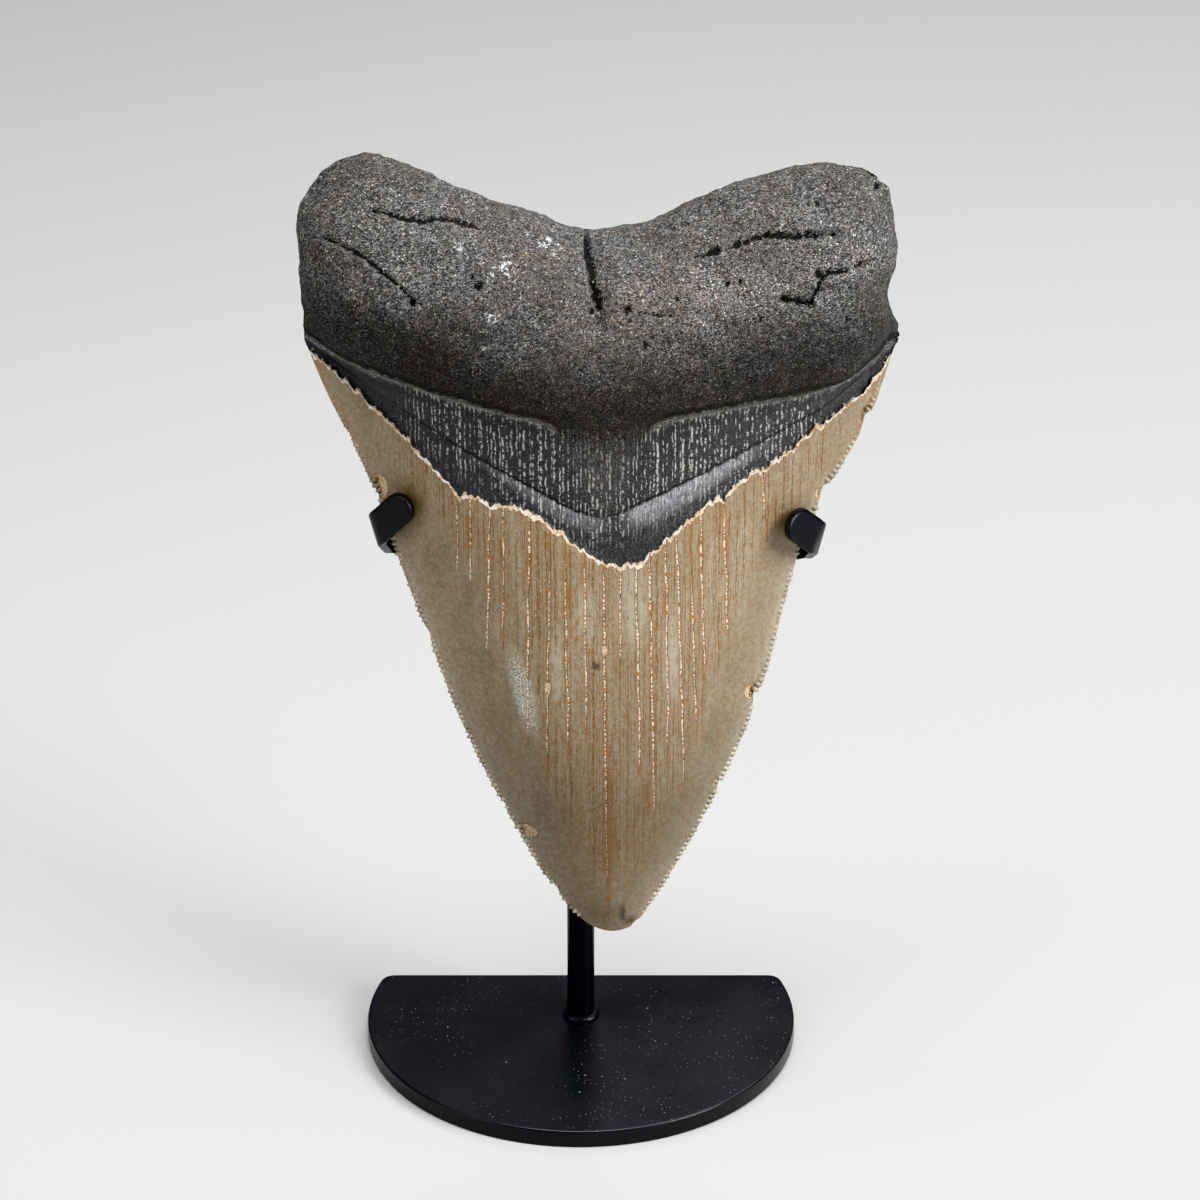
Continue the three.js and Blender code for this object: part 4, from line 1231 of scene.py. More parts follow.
    def sheet(self, s: Array, t: Array, side: Side) -> tuple[Array, dict[str, Array]]:
        """One face of the tooth.

        Args:
            s: The columns' shares.
            t: The rows' shares, columns by rows.
            side: Which face.

        Returns:
            Points in the tooth's own frame, columns by rows by coordinates, and the fields of its finish.
        """
        x, z = self.form.patch(np.broadcast_to(s[:, None], t.shape), t)
        edge = self.form.to_blade(x, z)
        _, inward = self.edge_frame(s)
        pull = self.bite(s)[:, None] * np.exp(-edge / 1.3)
        forward = self.form.forward(x, z, side)
        place = np.stack([x + inward[:, :1] * pull, forward, z + inward[:, 1:] * pull], -1)
        return place, self.fields(place, edge, side)

    def fields(self, place: Array, edge: Array, side: Side) -> dict[str, Array]:
        """The smooth fields that the finish is drawn from.

        Args:
            place: Points in the tooth's own frame.
            edge: Their distances from the cutting edge.
            side: Which face they are on.

        Returns:
            A number for each point, by the field's name.
        """
        x, z = place[..., 0], place[..., 2]
        return {
            "enamel": self.form.above_enamel(x, z, side),
            "edge": edge,
            "side": np.full(x.shape, float(side.value)),
            "soft": np.exp(-(((x + 0.6) / 8.5) ** 4)),
            "warm": mix(0.35, 1, np.exp(-((x / 24) ** 2))),
            "warm_edge": 0.3 * smooth(-edge, -2.6, -0.6) * smooth(z, 66, 84)
            + smooth(z, 97, 103) * smooth(-edge, -5, -1),
            # shade: the root's painted shade, an even 0.9 on the back
            "shade": self.root_light(x, z) if side is Side.FRONT else np.full(x.shape, 0.9),
            **self.band_fields(x, z, side),
            **self.enamel_fields(x, z, side),
            **self.mark_fields(x, z, side),
        }

    def band_fields(self, x: Array, z: Array, side: Side) -> dict[str, Array]:
        """The fields of the dark band, between the root's lower edge and the enamel.

        Args:
            x: Across coordinates.
            z: Up coordinates.
            side: Which face they are on.

        Returns:
            ledge: height above the root's foot. fade: how much of the root's sand shows. crease: height
                above the crease. Then how much shows of the painted highlight under the crease, stronger on
                the right, of the light lines, and of the painted shade in the crease.
        """
        if side is Side.FRONT:
            above_root = z - self.form.height("root_edge", x)
            crease = z - self.form.height("crease", x)
            room = self.form.height("root_edge", x) - self.form.height("crease", x) - 0.6
            tongue = np.minimum(16 * np.exp(-(((x + 0.6) / 5.0) ** 2)), np.maximum(0, room))
            fade = 1 - 0.62 * smooth(-above_root, -1.0, 6.0)
        else:
            above_root = z - self.form.height("back_enamel", x) - 1.6
            crease, tongue, fade = np.full(x.shape, 9.0), 0, np.ones(x.shape)
        under, reach = -crease, np.abs(x - 1)
        # the painted highlight under the crease: wider and stronger on the right, where the light falls
        width = 1.4 + 2.0 * smooth(-reach, -24, -8) + 1.4 * smooth(x, 2, 7)
        painted_sheen = smooth(under, 0.1, 0.7) * (1 - under / width).clip(0, 1) ** 0.7
        along_crease = smooth(-reach, -28, -17) * smooth(reach, 0.5, 3.5) * (0.50 + 0.62 * smooth(x, 0, 6))
        combed = smooth(-above_root, -0.6, 0.2) * smooth(crease, -8, -0.5) * smooth(-reach, -37, -30)
        return {
            "ledge": above_root + tongue,
            "fade": fade,
            "crease": crease,
            "painted_sheen": painted_sheen * along_crease,
            "combed": combed,
            "creased": smooth(-reach, -42, -30) * mix(0.35, 1, smooth(reach, 0.5, 4)),
        }

    def enamel_fields(self, x: Array, z: Array, side: Side) -> dict[str, Array]:
        """The fields of the enamel's middle and of its cracks.

        Args:
            x: Across coordinates.
            z: Up coordinates.
            side: Which face they are on.

        Returns:
            middle: 1 on the tan middle, 0 on the margins. phase, gap, white and brown: see crack_field.
        """
        front = side is Side.FRONT
        crack = self.marks.crack_field(x, z)
        half = 5.5 + 0.31 * (z - 12) + 8 * smooth(z, 64, 84)
        inside = half - np.abs(x - 1.5)
        return {
            "middle": smooth(inside, -3.5, 3.5) * smooth(z, 6, 20) * (1.0 if front else 0.55),
            "phase": crack["phase"],
            "gap": crack["gap"],
            "white": crack["white"] * (1.0 if front else 0.0),
            "brown": crack["brown"] * smooth(z, 3, 9) * smooth(inside, -4, 0),
        }

    def mark_fields(self, x: Array, z: Array, side: Side) -> dict[str, Array]:
        """The fields of the front's cracks, pits, flakes, grains, spots and painted glint, which are above
        0 inside each.

        Args:
            x: Across coordinates.
            z: Up coordinates.
            side: Which face they are on.

        Returns:
            A number for each point, by the mark's name.
        """
        names = ("wound", "flake", "grains", "pale", "rust", "bleached", "dark")
        if side is Side.BACK:
            return {name: np.full(x.shape, NO_MARK) for name in names}
        marks = self.marks
        spread, _ = marks.wound(x, z)
        grains = np.max([1 - np.hypot(x - at_x, z - at_z) / wide for at_x, at_z, wide in marks.grains], 0)
        ovals = [marks.ovals(x, z, spots) for spots in (marks.rust, marks.bleached, marks.dark_spots)]
        # the painted glint's oval, slanted
        pale = marks.oval(x + marks.painted_glint_slant * (z - marks.painted_glint_patch[1]), z, marks.painted_glint_patch)
        return dict(zip(names, (spread, marks.ovals(x, z, marks.flakes), grains, pale, *ovals)))

    def root_light(self, x: Array, z: Array) -> Array:
        """Painted shade of the root's stone: lighter over its crest and lobes, darker down to its lower
        edge.

        Args:
            x: Across coordinates.
            z: Up coordinates.

        Returns:
            Factors for the colour.
        """
        low = self.form.height("root_edge", x)
        share = (z - low) / (self.form.height("top", x) - low)
        light = 0.47 + 0.63 * smooth(share, 0.12, 0.62) - 0.16 * smooth(share, 0.72, 1.0)
        light = light + 0.35 * smooth(-share, 0.0, 0.25)
        for at_x, at_z, wide, high, gain in self.marks.paler:
            light = light + gain * np.exp(-(((x - at_x) / wide) ** 2) - ((z - at_z) / high) ** 2)
        return light

    def normals(self, place: Array) -> Array:
        """Outward directions over a grid of points."""
        across, up = np.gradient(place, axis=0), np.gradient(place, axis=1)
        out = np.cross(across, up)
        length = np.linalg.norm(out, axis=-1, keepdims=True)
        return out / np.maximum(length, 1e-9)

    def faces_of(self, side: Side, s: Array) -> tuple[Array, dict[str, Array]]:
        """The raised points of one face and its fields.

        Args:
            side: Which face.
            s: The columns' shares.

        Returns:
            The points, columns by rows by coordinates, and a number for each by the field's name.
        """
        lines = {Side.FRONT: ("enamel", "crease", "root_edge"), Side.BACK: ("back_enamel",)}
        counts = {Side.FRONT: self.front_rows, Side.BACK: self.back_rows}
        place, fields = self.sheet(s, self.rows(s, lines[side], counts[side]), side)
        out = -side.value * self.normals(place)
        raised = self.relief(place, fields["edge"], side)
        return place + out * raised[..., None], fields

    def build(self) -> bpy.types.Object:
        """The tooth's body as one closed mesh with its finish's fields."""
        even = np.linspace(0, 1, self.columns + 1)
        s = even - self.column_crowding * np.sin(2 * math.pi * even) / (2 * math.pi)
        front, front_fields = self.faces_of(Side.FRONT, s)
        back, back_fields = self.faces_of(Side.BACK, s)
        inner = back[1:-1, 1:-1]
        place = np.vstack([front.reshape(-1, 3), inner.reshape(-1, 3)])
        front_numbers = np.arange(front[..., 0].size).reshape(front.shape[:2])
        back_numbers = front_numbers.size + np.arange(inner[..., 0].size).reshape(inner.shape[:2])
        back_numbers = np.hstack([front_numbers[1:-1, :1], back_numbers, front_numbers[1:-1, -1:]])

        faces = self.grid(front_numbers) + [face[::-1] for face in self.grid(back_numbers)]
        faces += [face[::-1] for face in self.stitch(place, front_numbers[0], back_numbers[0])]
        faces += self.stitch(place, front_numbers[-1], back_numbers[-1])
        mesh = bpy.data.meshes.new("fossil_tooth")
        mesh.from_pydata(self.form.in_stand(place), [], faces)
        mesh.validate()
        self.store(mesh, "place", place)
        for name, values in front_fields.items():
            behind = back_fields[name][1:-1, 1:-1]
            self.store(mesh, name, np.concatenate([values.ravel(), behind.ravel()]))
        mesh.polygons.foreach_set("use_smooth", [True] * len(mesh.polygons))
        self.mark_edge(mesh, front_numbers[:, 0])
        return outward(added("fossil_tooth", mesh))

    def store(self, mesh: bpy.types.Mesh, name: str, values: Array) -> None:
        """Keeps a number or a point for each of the mesh's points."""
        kind, key = ("FLOAT", "value") if values.ndim == 1 else ("FLOAT_VECTOR", "vector")
        mesh.attributes.new(name, kind, "POINT").data.foreach_set(key, values.astype(np.float32).ravel())

    def mark_edge(self, mesh: bpy.types.Mesh, numbers: Array) -> None:
        """Keeps the cutting edge sharp under smooth shading."""
        on_edge = set(numbers.tolist())
        sharp = [set(edge.vertices) <= on_edge for edge in mesh.edges]
        mesh.attributes.new("sharp_edge", "BOOLEAN", "EDGE").data.foreach_set("value", sharp)

    def edge_path(self) -> bpy.types.Object:
        """The line that the serrations follow, with their strength on its points."""
        s = np.linspace(0, 1, self.edge_points)
        point, inward = self.edge_frame(s)
        sunk = self.bite(s) + self.bead[1] - self.serration_inset
        point = point + inward * sunk[:, None]
        forward = self.form.rim(point[:, 1]) + self.bead_forward
        place = self.form.in_stand(np.stack([point[:, 0], forward, point[:, 1]], -1))
        mesh = bpy.data.meshes.new("edge_path")
        mesh.from_pydata(place, [(i, i + 1) for i in range(len(s) - 1)], [])
        strength = self.edge_strength(s)
        chipped = self.bite(s) - self.serration_inset * strength
        self.store(mesh, "strength", strength * (1 - 0.6 * smooth(chipped, 0.15, 0.7)))
        return added("edge_path", mesh)

    def build_serrations(self, finish: bpy.types.Material) -> bpy.types.Object:
        """The serrations, set along both cutting edges by Geometry Nodes and made a plain mesh."""
        tree = SerrationTree(facing=tuple(self.form.facing())).build()
        inputs = {
            "Pitch": self.serration_pitch * MM,
            "Half Width": self.bead[0] * MM,
            "Half Reach": self.bead[1] * MM,
            "Half Thickness": self.bead[2] * MM,
            "Unevenness": self.unevenness,
            "Roughness": self.roughness * MM,
            "Seed": self.seed,
            "Finish": finish,
        }
        return realized(self.edge_path(), tree, inputs, "tooth_serrations")

    def dress(self) -> list[bpy.types.Object]:
        """Builds the body and its serrations, gives them their finishes and ties them to the frame."""
        body = tied(self.build(), FossilFinish().material(), "tooth")
        finish = SerrationFinish().material()
        return [body, tied(self.build_serrations(finish), finish, "tooth")]


@dataclass
class SerrationTree(Nodes):
    """The node tree that sets small rounded teeth along a line."""

    facing: tuple
    # Sides and rings of one tooth, how strong it has to be to stand, and the scale of its unevenness
    segments: int = 8
    rings: int = 6
    least_strength: float = 0.2
    wobble_scale: float = 1300.0

    def math(self, kind: str, a: Value, b: Value) -> Socket:
        """One step of arithmetic on two values."""
        return self.node("ShaderNodeMath", {0: a, 1: b}, operation=kind).outputs[0]

    def given(self) -> bpy.types.NodeOutputs:
        """Adds the tree's named inputs and its output, and returns the inputs' sockets."""
        sockets = {
            "Line": "Geometry", "Pitch": "Float", "Half Width": "Float", "Half Reach": "Float",
            "Half Thickness": "Float", "Unevenness": "Float", "Roughness": "Float", "Seed": "Int",
            "Finish": "Material",
        }
        for name, kind in sockets.items():
            self.tree.interface.new_socket(name, in_out="INPUT", socket_type="NodeSocket" + kind)
        self.tree.interface.new_socket("Teeth", in_out="OUTPUT", socket_type="NodeSocketGeometry")
        return self.node("NodeGroupInput", {}).outputs

    def build(self) -> bpy.types.NodeTree:
        """The tree: beads of uneven size set along the line, made real, roughened and given the finish."""
        self.tree = bpy.data.node_groups.new("serrations_on_a_line", "GeometryNodeTree")
        node, given = self.node, self.given()
        curve = node("GeometryNodeMeshToCurve", {"Mesh": given["Line"]}).outputs[0]
        spaced = {"Curve": curve, "Length": given["Pitch"]}
        points = node("GeometryNodeCurveToPoints", spaced, mode="LENGTH").outputs
        stored = node("GeometryNodeInputNamedAttribute", {"Name": "strength"}, data_type="FLOAT")
        strength = stored.outputs["Attribute"]
        upright = node("FunctionNodeAlignRotationToVector", {"Vector": self.facing}, axis="Z").outputs[0]
        lengthways = {"Rotation": upright, "Vector": points["Tangent"]}
        turned = node("FunctionNodeAlignRotationToVector", lengthways, axis="X", pivot_axis="Z").outputs[0]
        sizes = {0: given["Half Width"], 1: given["Half Reach"], 2: given["Half Thickness"]}
        size = node("ShaderNodeCombineXYZ", sizes).outputs[0]
        round_shape = {"Segments": self.segments, "Rings": self.rings, "Radius": 1.0}
        ball = node("GeometryNodeMeshUVSphere", round_shape).outputs["Mesh"]
        bead = node("GeometryNodeTransform", {"Geometry": ball, "Scale": size}).outputs[0]
        low = self.math("SUBTRACT", 1.0, given["Unevenness"])
        high = self.math("ADD", 1.0, given["Unevenness"])
        drawn = {2: low, 3: high, "Seed": given["Seed"]}
        vary = node("FunctionNodeRandomValue", drawn, data_type="FLOAT").outputs[1]
        enough = {0: strength, 1: self.least_strength}
        strong = node("FunctionNodeCompare", enough, operation="GREATER_THAN").outputs[0]
        set_out = node("GeometryNodeInstanceOnPoints", {
            "Points": points["Points"], "Selection": strong, "Instance": bead, "Rotation": turned,
            "Scale": self.math("MULTIPLY", vary, strength),
        }).outputs[0]
        real = node("GeometryNodeRealizeInstances", {0: set_out}).outputs[0]
        wobble = node("ShaderNodeTexNoise", {"Scale": self.wobble_scale, "Detail": 1.0}).outputs["Color"]
        middle = {0: wobble, 1: (0.5, 0.5, 0.5)}
        centred = node("ShaderNodeVectorMath", middle, operation="SUBTRACT").outputs[0]
        scaled = {0: centred, "Scale": given["Roughness"]}
        offset = node("ShaderNodeVectorMath", scaled, operation="SCALE").outputs[0]
        rough = node("GeometryNodeSetPosition", {"Geometry": real, "Offset": offset}).outputs[0]
        smooth_faces = node("GeometryNodeSetShadeSmooth", {"Geometry": rough}).outputs[0]
        finished = {"Geometry": smooth_faces, "Material": given["Finish"]}
        node("NodeGroupOutput", {0: node("GeometryNodeSetMaterial", finished).outputs[0]})
        return self.tree


def added(name: str, data: bpy.types.ID) -> bpy.types.Object:
    """An object that shows a mesh, light or camera, linked to the scene."""
    made = bpy.data.objects.new(name, data)
    bpy.context.scene.collection.objects.link(made)
    return made


def realized(
    carrier: bpy.types.Object, tree: bpy.types.NodeTree, inputs: dict, name: str
) -> bpy.types.Object:
    """Runs a node tree on an object and keeps the result as a plain mesh.

    Args:
        carrier: The object that the tree starts from. It is removed.
        tree: The node tree.
        inputs: Values by the input's name.
        name: The new piece's name.

    Returns:
        The new piece.
    """
    modifier = carrier.modifiers.new("set out", "NODES")
    modifier.node_group = tree
    for item in tree.interface.items_tree:
        if item.in_out == "INPUT" and item.name in inputs:
            modifier[item.identifier] = inputs[item.name]
    evaluated = carrier.evaluated_get(bpy.context.evaluated_depsgraph_get())
    mesh = bpy.data.meshes.new_from_object(evaluated)
    mesh.name = name
    carrier.modifiers.remove(modifier)
    bpy.data.objects.remove(carrier)
    return added(name, mesh)


def outward(piece: bpy.types.Object) -> bpy.types.Object:
    """Turns a closed piece's faces so that they point out."""
    shape = bmesh.new()
    shape.from_mesh(piece.data)
    bmesh.ops.recalc_face_normals(shape, faces=shape.faces)
    shape.to_mesh(piece.data)
    shape.free()
    return piece


def bridge(shape: bmesh.types.BMesh, rings: Sequence[list]) -> None:
    """Adds the wall between rings of points that run the same way, and the flat ends.

    Args:
        shape: The mesh.
        rings: The rings in order. One of a single point closes the wall there.
    """
    for low, high in zip(rings, rings[1:]):
        count = max(len(low), len(high))
        for i in range(count):
            j = (i + 1) % count
            corners = (low[i % len(low)], low[j % len(low)], high[j % len(high)], high[i % len(high)])
            shape.faces.new(list(dict.fromkeys(corners)))
    for end in (rings[0], rings[-1]):
        if len(end) > 2:
            shape.faces.new(end)


def linked(name: str, shape: bmesh.types.BMesh) -> bpy.types.Object:
    """Makes a piece from an edited mesh, which is freed. Faces with many sides stay flat, others smooth."""
    bmesh.ops.recalc_face_normals(shape, faces=shape.faces)
    mesh = bpy.data.meshes.new(name)
    shape.to_mesh(mesh)
    shape.free()
    small = [len(polygon.vertices) < MANY_SIDES for polygon in mesh.polygons]
    mesh.polygons.foreach_set("use_smooth", small)
    return added(name, mesh)


def tied(piece: bpy.types.Object, material: bpy.types.Material, node: str) -> bpy.types.Object:
    """Gives a piece its material and ties it to the frame.

    Args:
        piece: The piece.
        material: Its material.
        node: The solid that it stands for.

    Returns:
        The piece.
    """
    piece.data.materials.clear()
    piece.data.materials.append(material)
    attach(piece, BODY)
    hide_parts(node)
    return piece


@dataclass
class Plate:
    """The base plate: a disc cut straight behind the post, its edges eased."""

    radius: float = 38.0
    behind: float = 13.5
    thickness: float = 3.2
    corner: float = 2.5
    ease: float = 0.35
    sides: int = 220
    corner_sides: int = 14
    ease_steps: int = 5
    coat: BlackCoat = BlackCoat("black_satin_dusty", roughness=0.27, dust=1.0)

    def outline(self, inset: float) -> list[tuple[float, float]]:
        """The plate's outline from above, anticlockwise, moved in by an inset."""
        flat = self.radius - self.corner
        turn = math.asin((self.behind - self.corner) / flat)
        x, y = flat * math.cos(turn), self.behind - self.corner
        arcs = (
            (0, 0, self.radius - inset, math.pi - turn, 2 * math.pi + turn, self.sides),
            (x, y, self.corner - inset, turn, math.pi / 2, self.corner_sides),
            (-x, y, self.corner - inset, math.pi / 2, math.pi - turn, self.corner_sides),
        )
        points = []
        for at_x, at_y, radius, start, end, steps in arcs:
            for i in range(steps + 1):
                angle = start + (end - start) * i / steps
                points.append((at_x + radius * math.cos(angle), at_y + radius * math.sin(angle)))
        return points

    def build(self) -> bpy.types.Object:
        """The plate's mesh, built ring by ring from its underside to its top."""
        turns = [(math.pi / 2) * i / self.ease_steps for i in range(self.ease_steps + 1)]
        levels = [(self.ease * (1 - math.sin(a)), self.ease * (1 - math.cos(a))) for a in turns]
        levels += [(inset, self.thickness - z) for inset, z in reversed(levels)]
        shape = bmesh.new()
        rings = []
        for inset, z in levels:
            rings.append([shape.verts.new((x * MM, y * MM, z * MM)) for x, y in self.outline(inset)])
        bridge(shape, rings)
        bmesh.ops.remove_doubles(shape, verts=shape.verts, dist=1e-6)
        return linked("plate_slab", shape)

    def dress(self) -> list[bpy.types.Object]:
        """Builds the plate, coats it and ties it to the frame."""
        return [tied(self.build(), self.coat.material(), "base_plate")]


@dataclass
class Post:
    """The post: a round rod whose top is ground flat behind the holder, with a weld round its foot."""

    radius: float = 2.4
    foot: float = 1.2
    plate_top: float = 3.2
    joint_height: float = 62.5
    above_joint: float = 3.2
    flat_behind: float = 4.8
    ease: float = 0.3
    sides: int = 64
    weld_radius: float = 3.3
    weld_height: float = 0.95
    weld_steps: int = 7
    weld_sides: int = 72
    # The weld's waves round the rod, as (height, waves in a turn, start)
    weld_waves: tuple = ((0.03, 11, 0.6), (0.02, 7, 0.0))

    def build(self, form: ToothForm) -> bpy.types.Object:
        """The rod's mesh."""
        top = form.tip[2] + self.joint_height * math.cos(math.radians(form.lean)) + self.above_joint
        shape = bmesh.new()
        length = (top - self.foot) * MM
        bmesh.ops.create_cone(
            shape, cap_ends=True, segments=self.sides, radius1=self.radius * MM, radius2=self.radius * MM,
            depth=length, matrix=Matrix.Translation((0, 0, self.foot * MM + length / 2)),
        )
        on_flat = form.to_stand() @ Vector((0, -self.flat_behind, self.joint_height))
        cut = bmesh.ops.bisect_plane(
            shape, geom=shape.verts[:] + shape.edges[:] + shape.faces[:],
            plane_co=on_flat, plane_no=form.facing(), clear_outer=True,
        )
        rim = [item for item in cut["geom_cut"] if isinstance(item, bmesh.types.BMEdge)]
        bmesh.ops.contextual_create(shape, geom=rim)
        sharp = [edge for edge in shape.edges if edge.is_manifold and edge.calc_face_angle() > SHARP_ANGLE]
        bmesh.ops.bevel(
            shape, geom=sharp, offset=self.ease * MM, segments=3, profile=0.5, affect="EDGES"
        )
        return linked("post_rod", shape)

    def build_weld(self) -> bpy.types.Object:
        """The low bead of weld round the rod's foot."""
        profile = [(0, 0.0), (self.weld_radius, 0.0)]
        for i in range(1, self.weld_steps + 1):
            angle = (math.pi / 2) * i / self.weld_steps
            reach = self.weld_radius - (self.weld_radius - self.radius) * (1 - math.cos(angle))
            profile.append((reach, self.weld_height * math.sin(angle) ** 0.9))
        profile.append((0, self.weld_height))
        shape = bmesh.new()
        inner = self.radius * 0.98
        rings = []
        for reach, height in profile:
            ring = []
            for k in range(self.weld_sides if reach else 1):
                angle = 2 * math.pi * k / self.weld_sides
                swell = sum(high * math.sin(waves * angle + at) for high, waves, at in self.weld_waves)
                wide = inner + (reach - inner) * (1 + swell) if reach else 0
                point = (wide * math.cos(angle), wide * math.sin(angle), self.plate_top + height)
                ring.append(shape.verts.new(Vector(point) * MM))
            rings.append(ring)
        bridge(shape, rings)
        return linked("foot_weld", shape)

    def dress(self, form: ToothForm, satin: bpy.types.Material) -> list[bpy.types.Object]:
        """Builds the rod and its weld, coats them and ties them to the frame."""
        return [tied(piece, satin, "post") for piece in (self.build(form), self.build_weld())]


@dataclass(frozen=True)
class Arm:
    """One arm of the holder: where it passes the cutting edge, its fold line, its tab's reach and twist."""

    end: tuple
    fold: float
    reach: float
    twist: float


@dataclass
class StripPath:
    """The side profile of an arm, as points (out, forward) that it runs through."""

    points: Array

    def __post_init__(self) -> None:
        """Measures how far along the profile each point lies."""
        pieces = np.linalg.norm(np.diff(self.points, axis=0), axis=1)
        self.lengths = np.concatenate([[0], np.cumsum(pieces)])

    def at(self, run: Array) -> tuple[Array, Array]:
        """How far out and forward the profile is after a run. It goes straight on before its start."""
        out = np.interp(run, self.lengths, self.points[:, 0]) + np.minimum(0, run)
        return out, np.interp(run, self.lengths, self.points[:, 1])

    def layer(self, run: Array, layer: Array) -> tuple[Array, Array]:
        """The same for a place that lies off the profile's middle by a layer of the strip.

        Args:
            run: How far along the profile.
            layer: How far forward of its middle, square to it.

        Returns:
            How far out and forward the place is.
        """
        step = 0.02
        out, ahead = self.at(run)
        (out_before, ahead_before), (out_after, ahead_after) = self.at(run - step), self.at(run + step)
        d_out, d_ahead = out_after - out_before, ahead_after - ahead_before
        size = np.hypot(d_out, d_ahead)
        return out - layer * d_ahead / size, ahead + layer * d_out / size


@dataclass
class Holder:
    """The holder: two flat arms from behind the tooth, bent forward round its edges and folded over."""

    arms: tuple = (Arm((-37.5, 68.9), 106, 8.9, 0.0), Arm((34.5, 67.9), 75, 7.6, 0.34))
    joint: tuple = (-4.6, 62.5)
    width: float = 5.4
    thickness: float = 1.6
    bend: float = 1.5
    bend_steps: int = 12
    tab_slope: float = 34.0
    arm_front: float = -2.9
    tab_corner: float = 2.6
    twist_start: float = 1.5
    twist_pivot: float = 1.2
    ease: float = 0.42
    ease_steps: int = 4
    flat_steps: int = 10
    spacing: float = 0.33
    round_steps: int = 15
    # How near the last ring comes to the round end, and how far the mitre at the joint fades out
    last_ring: float = 0.9995
    mitre_run: float = 8.0

    def path(self, outer: float, run: float) -> StripPath:
        """An arm's side profile.

        Args:
            outer: How far out the arm reaches.
            run: How far the tab reaches.

        Returns:
            The profile.
        """
        slope = math.radians(self.tab_slope)
        back = np.array([0, self.arm_front - self.thickness / 2])
        low = np.array([outer, back[1]])
        high = np.array([outer, self.tab_corner + self.thickness / 2])
        tip = high + run * np.array([-math.cos(slope), math.sin(slope)])
        points = [back]
        t = np.linspace(0, 1, self.bend_steps + 1)[:, None]
        for before, corner, after in ((back, low, high), (low, high, tip)):
            start = corner + self.bend * (before - corner) / np.linalg.norm(before - corner)
            end = corner + self.bend * (after - corner) / np.linalg.norm(after - corner)
            points.extend((1 - t) ** 2 * start + 2 * t * (1 - t) * corner + t**2 * end)
        return StripPath(np.array([*points, tip]))

    def section(self, over: float) -> tuple[Array, Array]:
        """A ring round the strip.

        Args:
            over: How far into the round end the ring lies, 0 along the straight.

        Returns:
            The ring's places across the strip and through its thickness.
        """
        half, thick, ease = self.width / 2, self.thickness / 2, self.ease
        turn = np.linspace(0, math.pi / 2, self.ease_steps + 1)
        inset = ease * (1 - np.sin(turn))
        room = half - over
        clipped_layer = thick - ease + math.sqrt(max(0, ease**2 - (ease - room) ** 2))
        layer = np.where(inset > room, clipped_layer, thick - ease + ease * np.cos(turn))
        across = np.sqrt(np.maximum(0, (half - np.minimum(inset, room)) ** 2 - over**2))
        flat = np.linspace(-1, 1, self.flat_steps + 1)[1:-1]
        top = np.stack([across[0] * flat, np.full(flat.shape, layer[0])], -1)
        quarter = np.stack([across, layer], -1)
        back_quarter = quarter[::-1]
        ring = np.vstack([quarter, back_quarter * (1, -1), -top, -quarter, back_quarter * (-1, 1), top])
        return ring[:, 0], ring[:, 1]

    def stations(self, reach: float) -> list[tuple[float, float]]:
        """Where the rings of an arm lie: how far along it, and how far into its round end."""
        along_arm = [(p, 0.0) for p in np.linspace(0, reach, int(reach / self.spacing))]
        turns = np.linspace(0, math.pi / 2, self.round_steps + 1)[1:]
        overs = [self.width / 2 * math.sin(a) * self.last_ring for a in turns]
        return along_arm + [(reach + over, over) for over in overs]

    def add_arm(self, shape: bmesh.types.BMesh, arm: Arm, place: Matrix) -> None:
        """Adds one arm to the mesh.

        Args:
            shape: The mesh.
            arm: The arm's sizes.
            place: The matrix from the tooth's frame to the stand's.
        """
        fold_line = np.array([math.cos(math.radians(arm.fold)), math.sin(math.radians(arm.fold))])
        way = np.array(arm.end) - np.array(self.joint)
        hand = math.copysign(1, way[0])
        outward_way = hand * np.array([fold_line[1], -fold_line[0]])
        outer = float(way @ outward_way)
        skew = math.atan2(float(way @ fold_line), outer)
        slope = math.atan2(way[1], abs(way[0]))
        path = self.path(outer, arm.reach)
        folded = path.lengths[-2]
        reach = (path.lengths[-1] - self.width / 2) / math.cos(skew)
        rings = []
        for run_along, over in self.stations(reach):
            across, layer = self.section(over)
            mitre = math.tan(slope) * across * max(0.0, 1 - run_along / self.mitre_run)
            run = (run_along + mitre) * math.cos(skew) - across * math.sin(skew)
            beside = (run_along + mitre) * math.sin(skew) + across * math.cos(skew)
            out, ahead = path.layer(run, layer)
            lean = arm.twist * smooth(run, folded - self.twist_start, folded)
            ahead = ahead + lean * (run * math.tan(skew) + self.twist_pivot - beside)
            x = self.joint[0] + outward_way[0] * out + fold_line[0] * beside
            z = self.joint[1] + outward_way[1] * out + fold_line[1] * beside
            rings.append([shape.verts.new(place @ Vector(v)) for v in zip(x, ahead, z)])
        bridge(shape, rings)

    def build(self, form: ToothForm) -> bpy.types.Object:
        """Both arms in one mesh."""
        shape = bmesh.new()
        for arm in self.arms:
            self.add_arm(shape, arm, form.to_stand())
        bmesh.ops.remove_doubles(shape, verts=shape.verts, dist=2e-6)
        return linked("holder_strip", shape)

    def dress(self, form: ToothForm, satin: bpy.types.Material) -> list[bpy.types.Object]:
        """Builds the holder, coats it and ties it to the frame."""
        return [tied(self.build(form), satin, "bracket")]


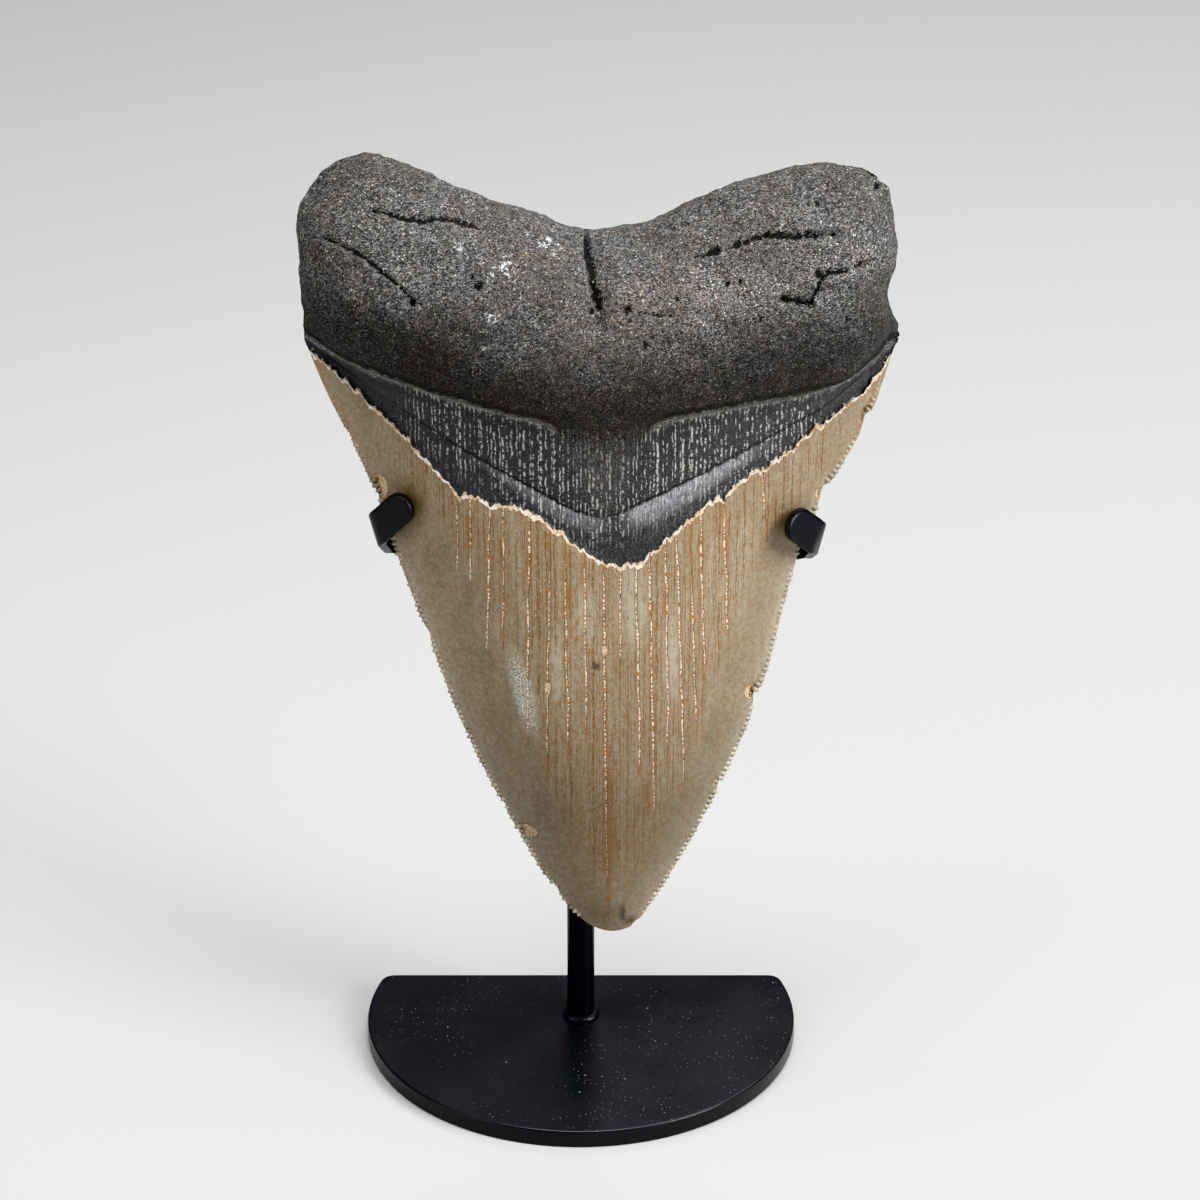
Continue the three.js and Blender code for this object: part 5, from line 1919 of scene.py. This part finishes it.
@dataclass
class Studio:
    """The plain pale floor, soft lights and the camera at the photograph's angle."""

    floor_side: float = 8.0
    floor_colour: Colour = (0.47, 0.467, 0.458)
    floor_mottle: float = 0.97
    world_colour: Colour = (0.80, 0.82, 0.86)
    world_strength: float = 0.20
    lens: float = 126.0
    sensor: float = 36.0
    camera_at: tuple = (3.4, -640.316, 400.637)
    camera_tilt: float = 26.2
    # Each light: its name, place and aim in metres, its side lengths and its watts
    lights: tuple = (
        ("top_softbox", (0.0, -0.10, 0.95), (0.0, 0.0, 0.10), (0.55, 0.45), 9.2),
        ("left_softbox", (-0.75, -0.45, 0.55), (0.0, 0.0, 0.09), (0.45, 0.7), 3.1),
        ("back_softbox", (0.25, 0.85, 1.15), (0.0, 0.0, 0.10), (0.8, 0.5), 7.0),
        ("right_softbox", (0.75, -0.40, 0.60), (0.0, 0.0, 0.09), (0.45, 0.7), 13.2),
    )

    def build(self) -> None:
        """Sets the stage: floor, surroundings, lights, camera and the way tones are shown."""
        self.add_floor()
        world = bpy.data.worlds.new("studio")
        world.use_nodes = True
        background = world.node_tree.nodes["Background"]
        background.inputs["Color"].default_value = (*self.world_colour, 1)
        background.inputs["Strength"].default_value = self.world_strength
        bpy.context.scene.world = world
        for name, place, target, size, watts in self.lights:
            self.add_light(name, Vector(place), Vector(target), size, watts)
        self.add_camera()
        bpy.context.scene.view_settings.view_transform = "Khronos PBR Neutral"

    def add_floor(self) -> None:
        """Adds the floor with its faintly mottled finish."""
        bpy.ops.mesh.primitive_plane_add(size=self.floor_side)
        floor = bpy.context.object
        floor.name = "floor"
        g = Graph("pale_floor")
        low = tuple(self.floor_mottle * part for part in self.floor_colour)
        g.finish(g.blend(g.noise(g.point, 3, 2), low, self.floor_colour), 0.7)
        floor.data.materials.append(g.material)

    def add_light(self, name: str, place: Vector, target: Vector, size: tuple, watts: float) -> None:
        """Adds one soft box.

        Args:
            name: Its name.
            place: Where it stands, in metres.
            target: Where it points.
            size: Its two side lengths.
            watts: Its power.
        """
        data = bpy.data.lights.new(name, "AREA")
        data.shape = "RECTANGLE"
        data.size, data.size_y = size
        data.energy = watts
        light = added(name, data)
        light.location = place
        light.rotation_euler = (target - place).to_track_quat("-Z", "Y").to_euler()

    def add_camera(self) -> None:
        """Adds the camera and makes it the scene's."""
        data = bpy.data.cameras.new("camera")
        data.lens = self.lens
        data.sensor_width = self.sensor
        data.clip_start = 0.01
        camera = added("camera", data)
        camera.location = Vector(self.camera_at) * MM
        camera.rotation_euler = (math.radians(90 - self.camera_tilt), 0, 0)
        bpy.context.scene.camera = camera


def main() -> None:
    """Builds the stage, the tooth and its stand, and reports each piece."""
    logging.basicConfig(level=logging.INFO, format="%(message)s")
    Studio().build()
    tooth = Tooth()
    pieces = tooth.dress()
    satin = BlackCoat("black_satin").material()
    pieces += Holder().dress(tooth.form, satin)
    pieces += Post().dress(tooth.form, satin)
    pieces += Plate().dress()
    for piece in pieces:
        triangles = sum(len(polygon.vertices) - 2 for polygon in piece.data.polygons)
        log.info("%s: %d triangles, finish %s", piece.name, triangles, piece.data.materials[0].name)


if __name__ == "__main__":
    main()
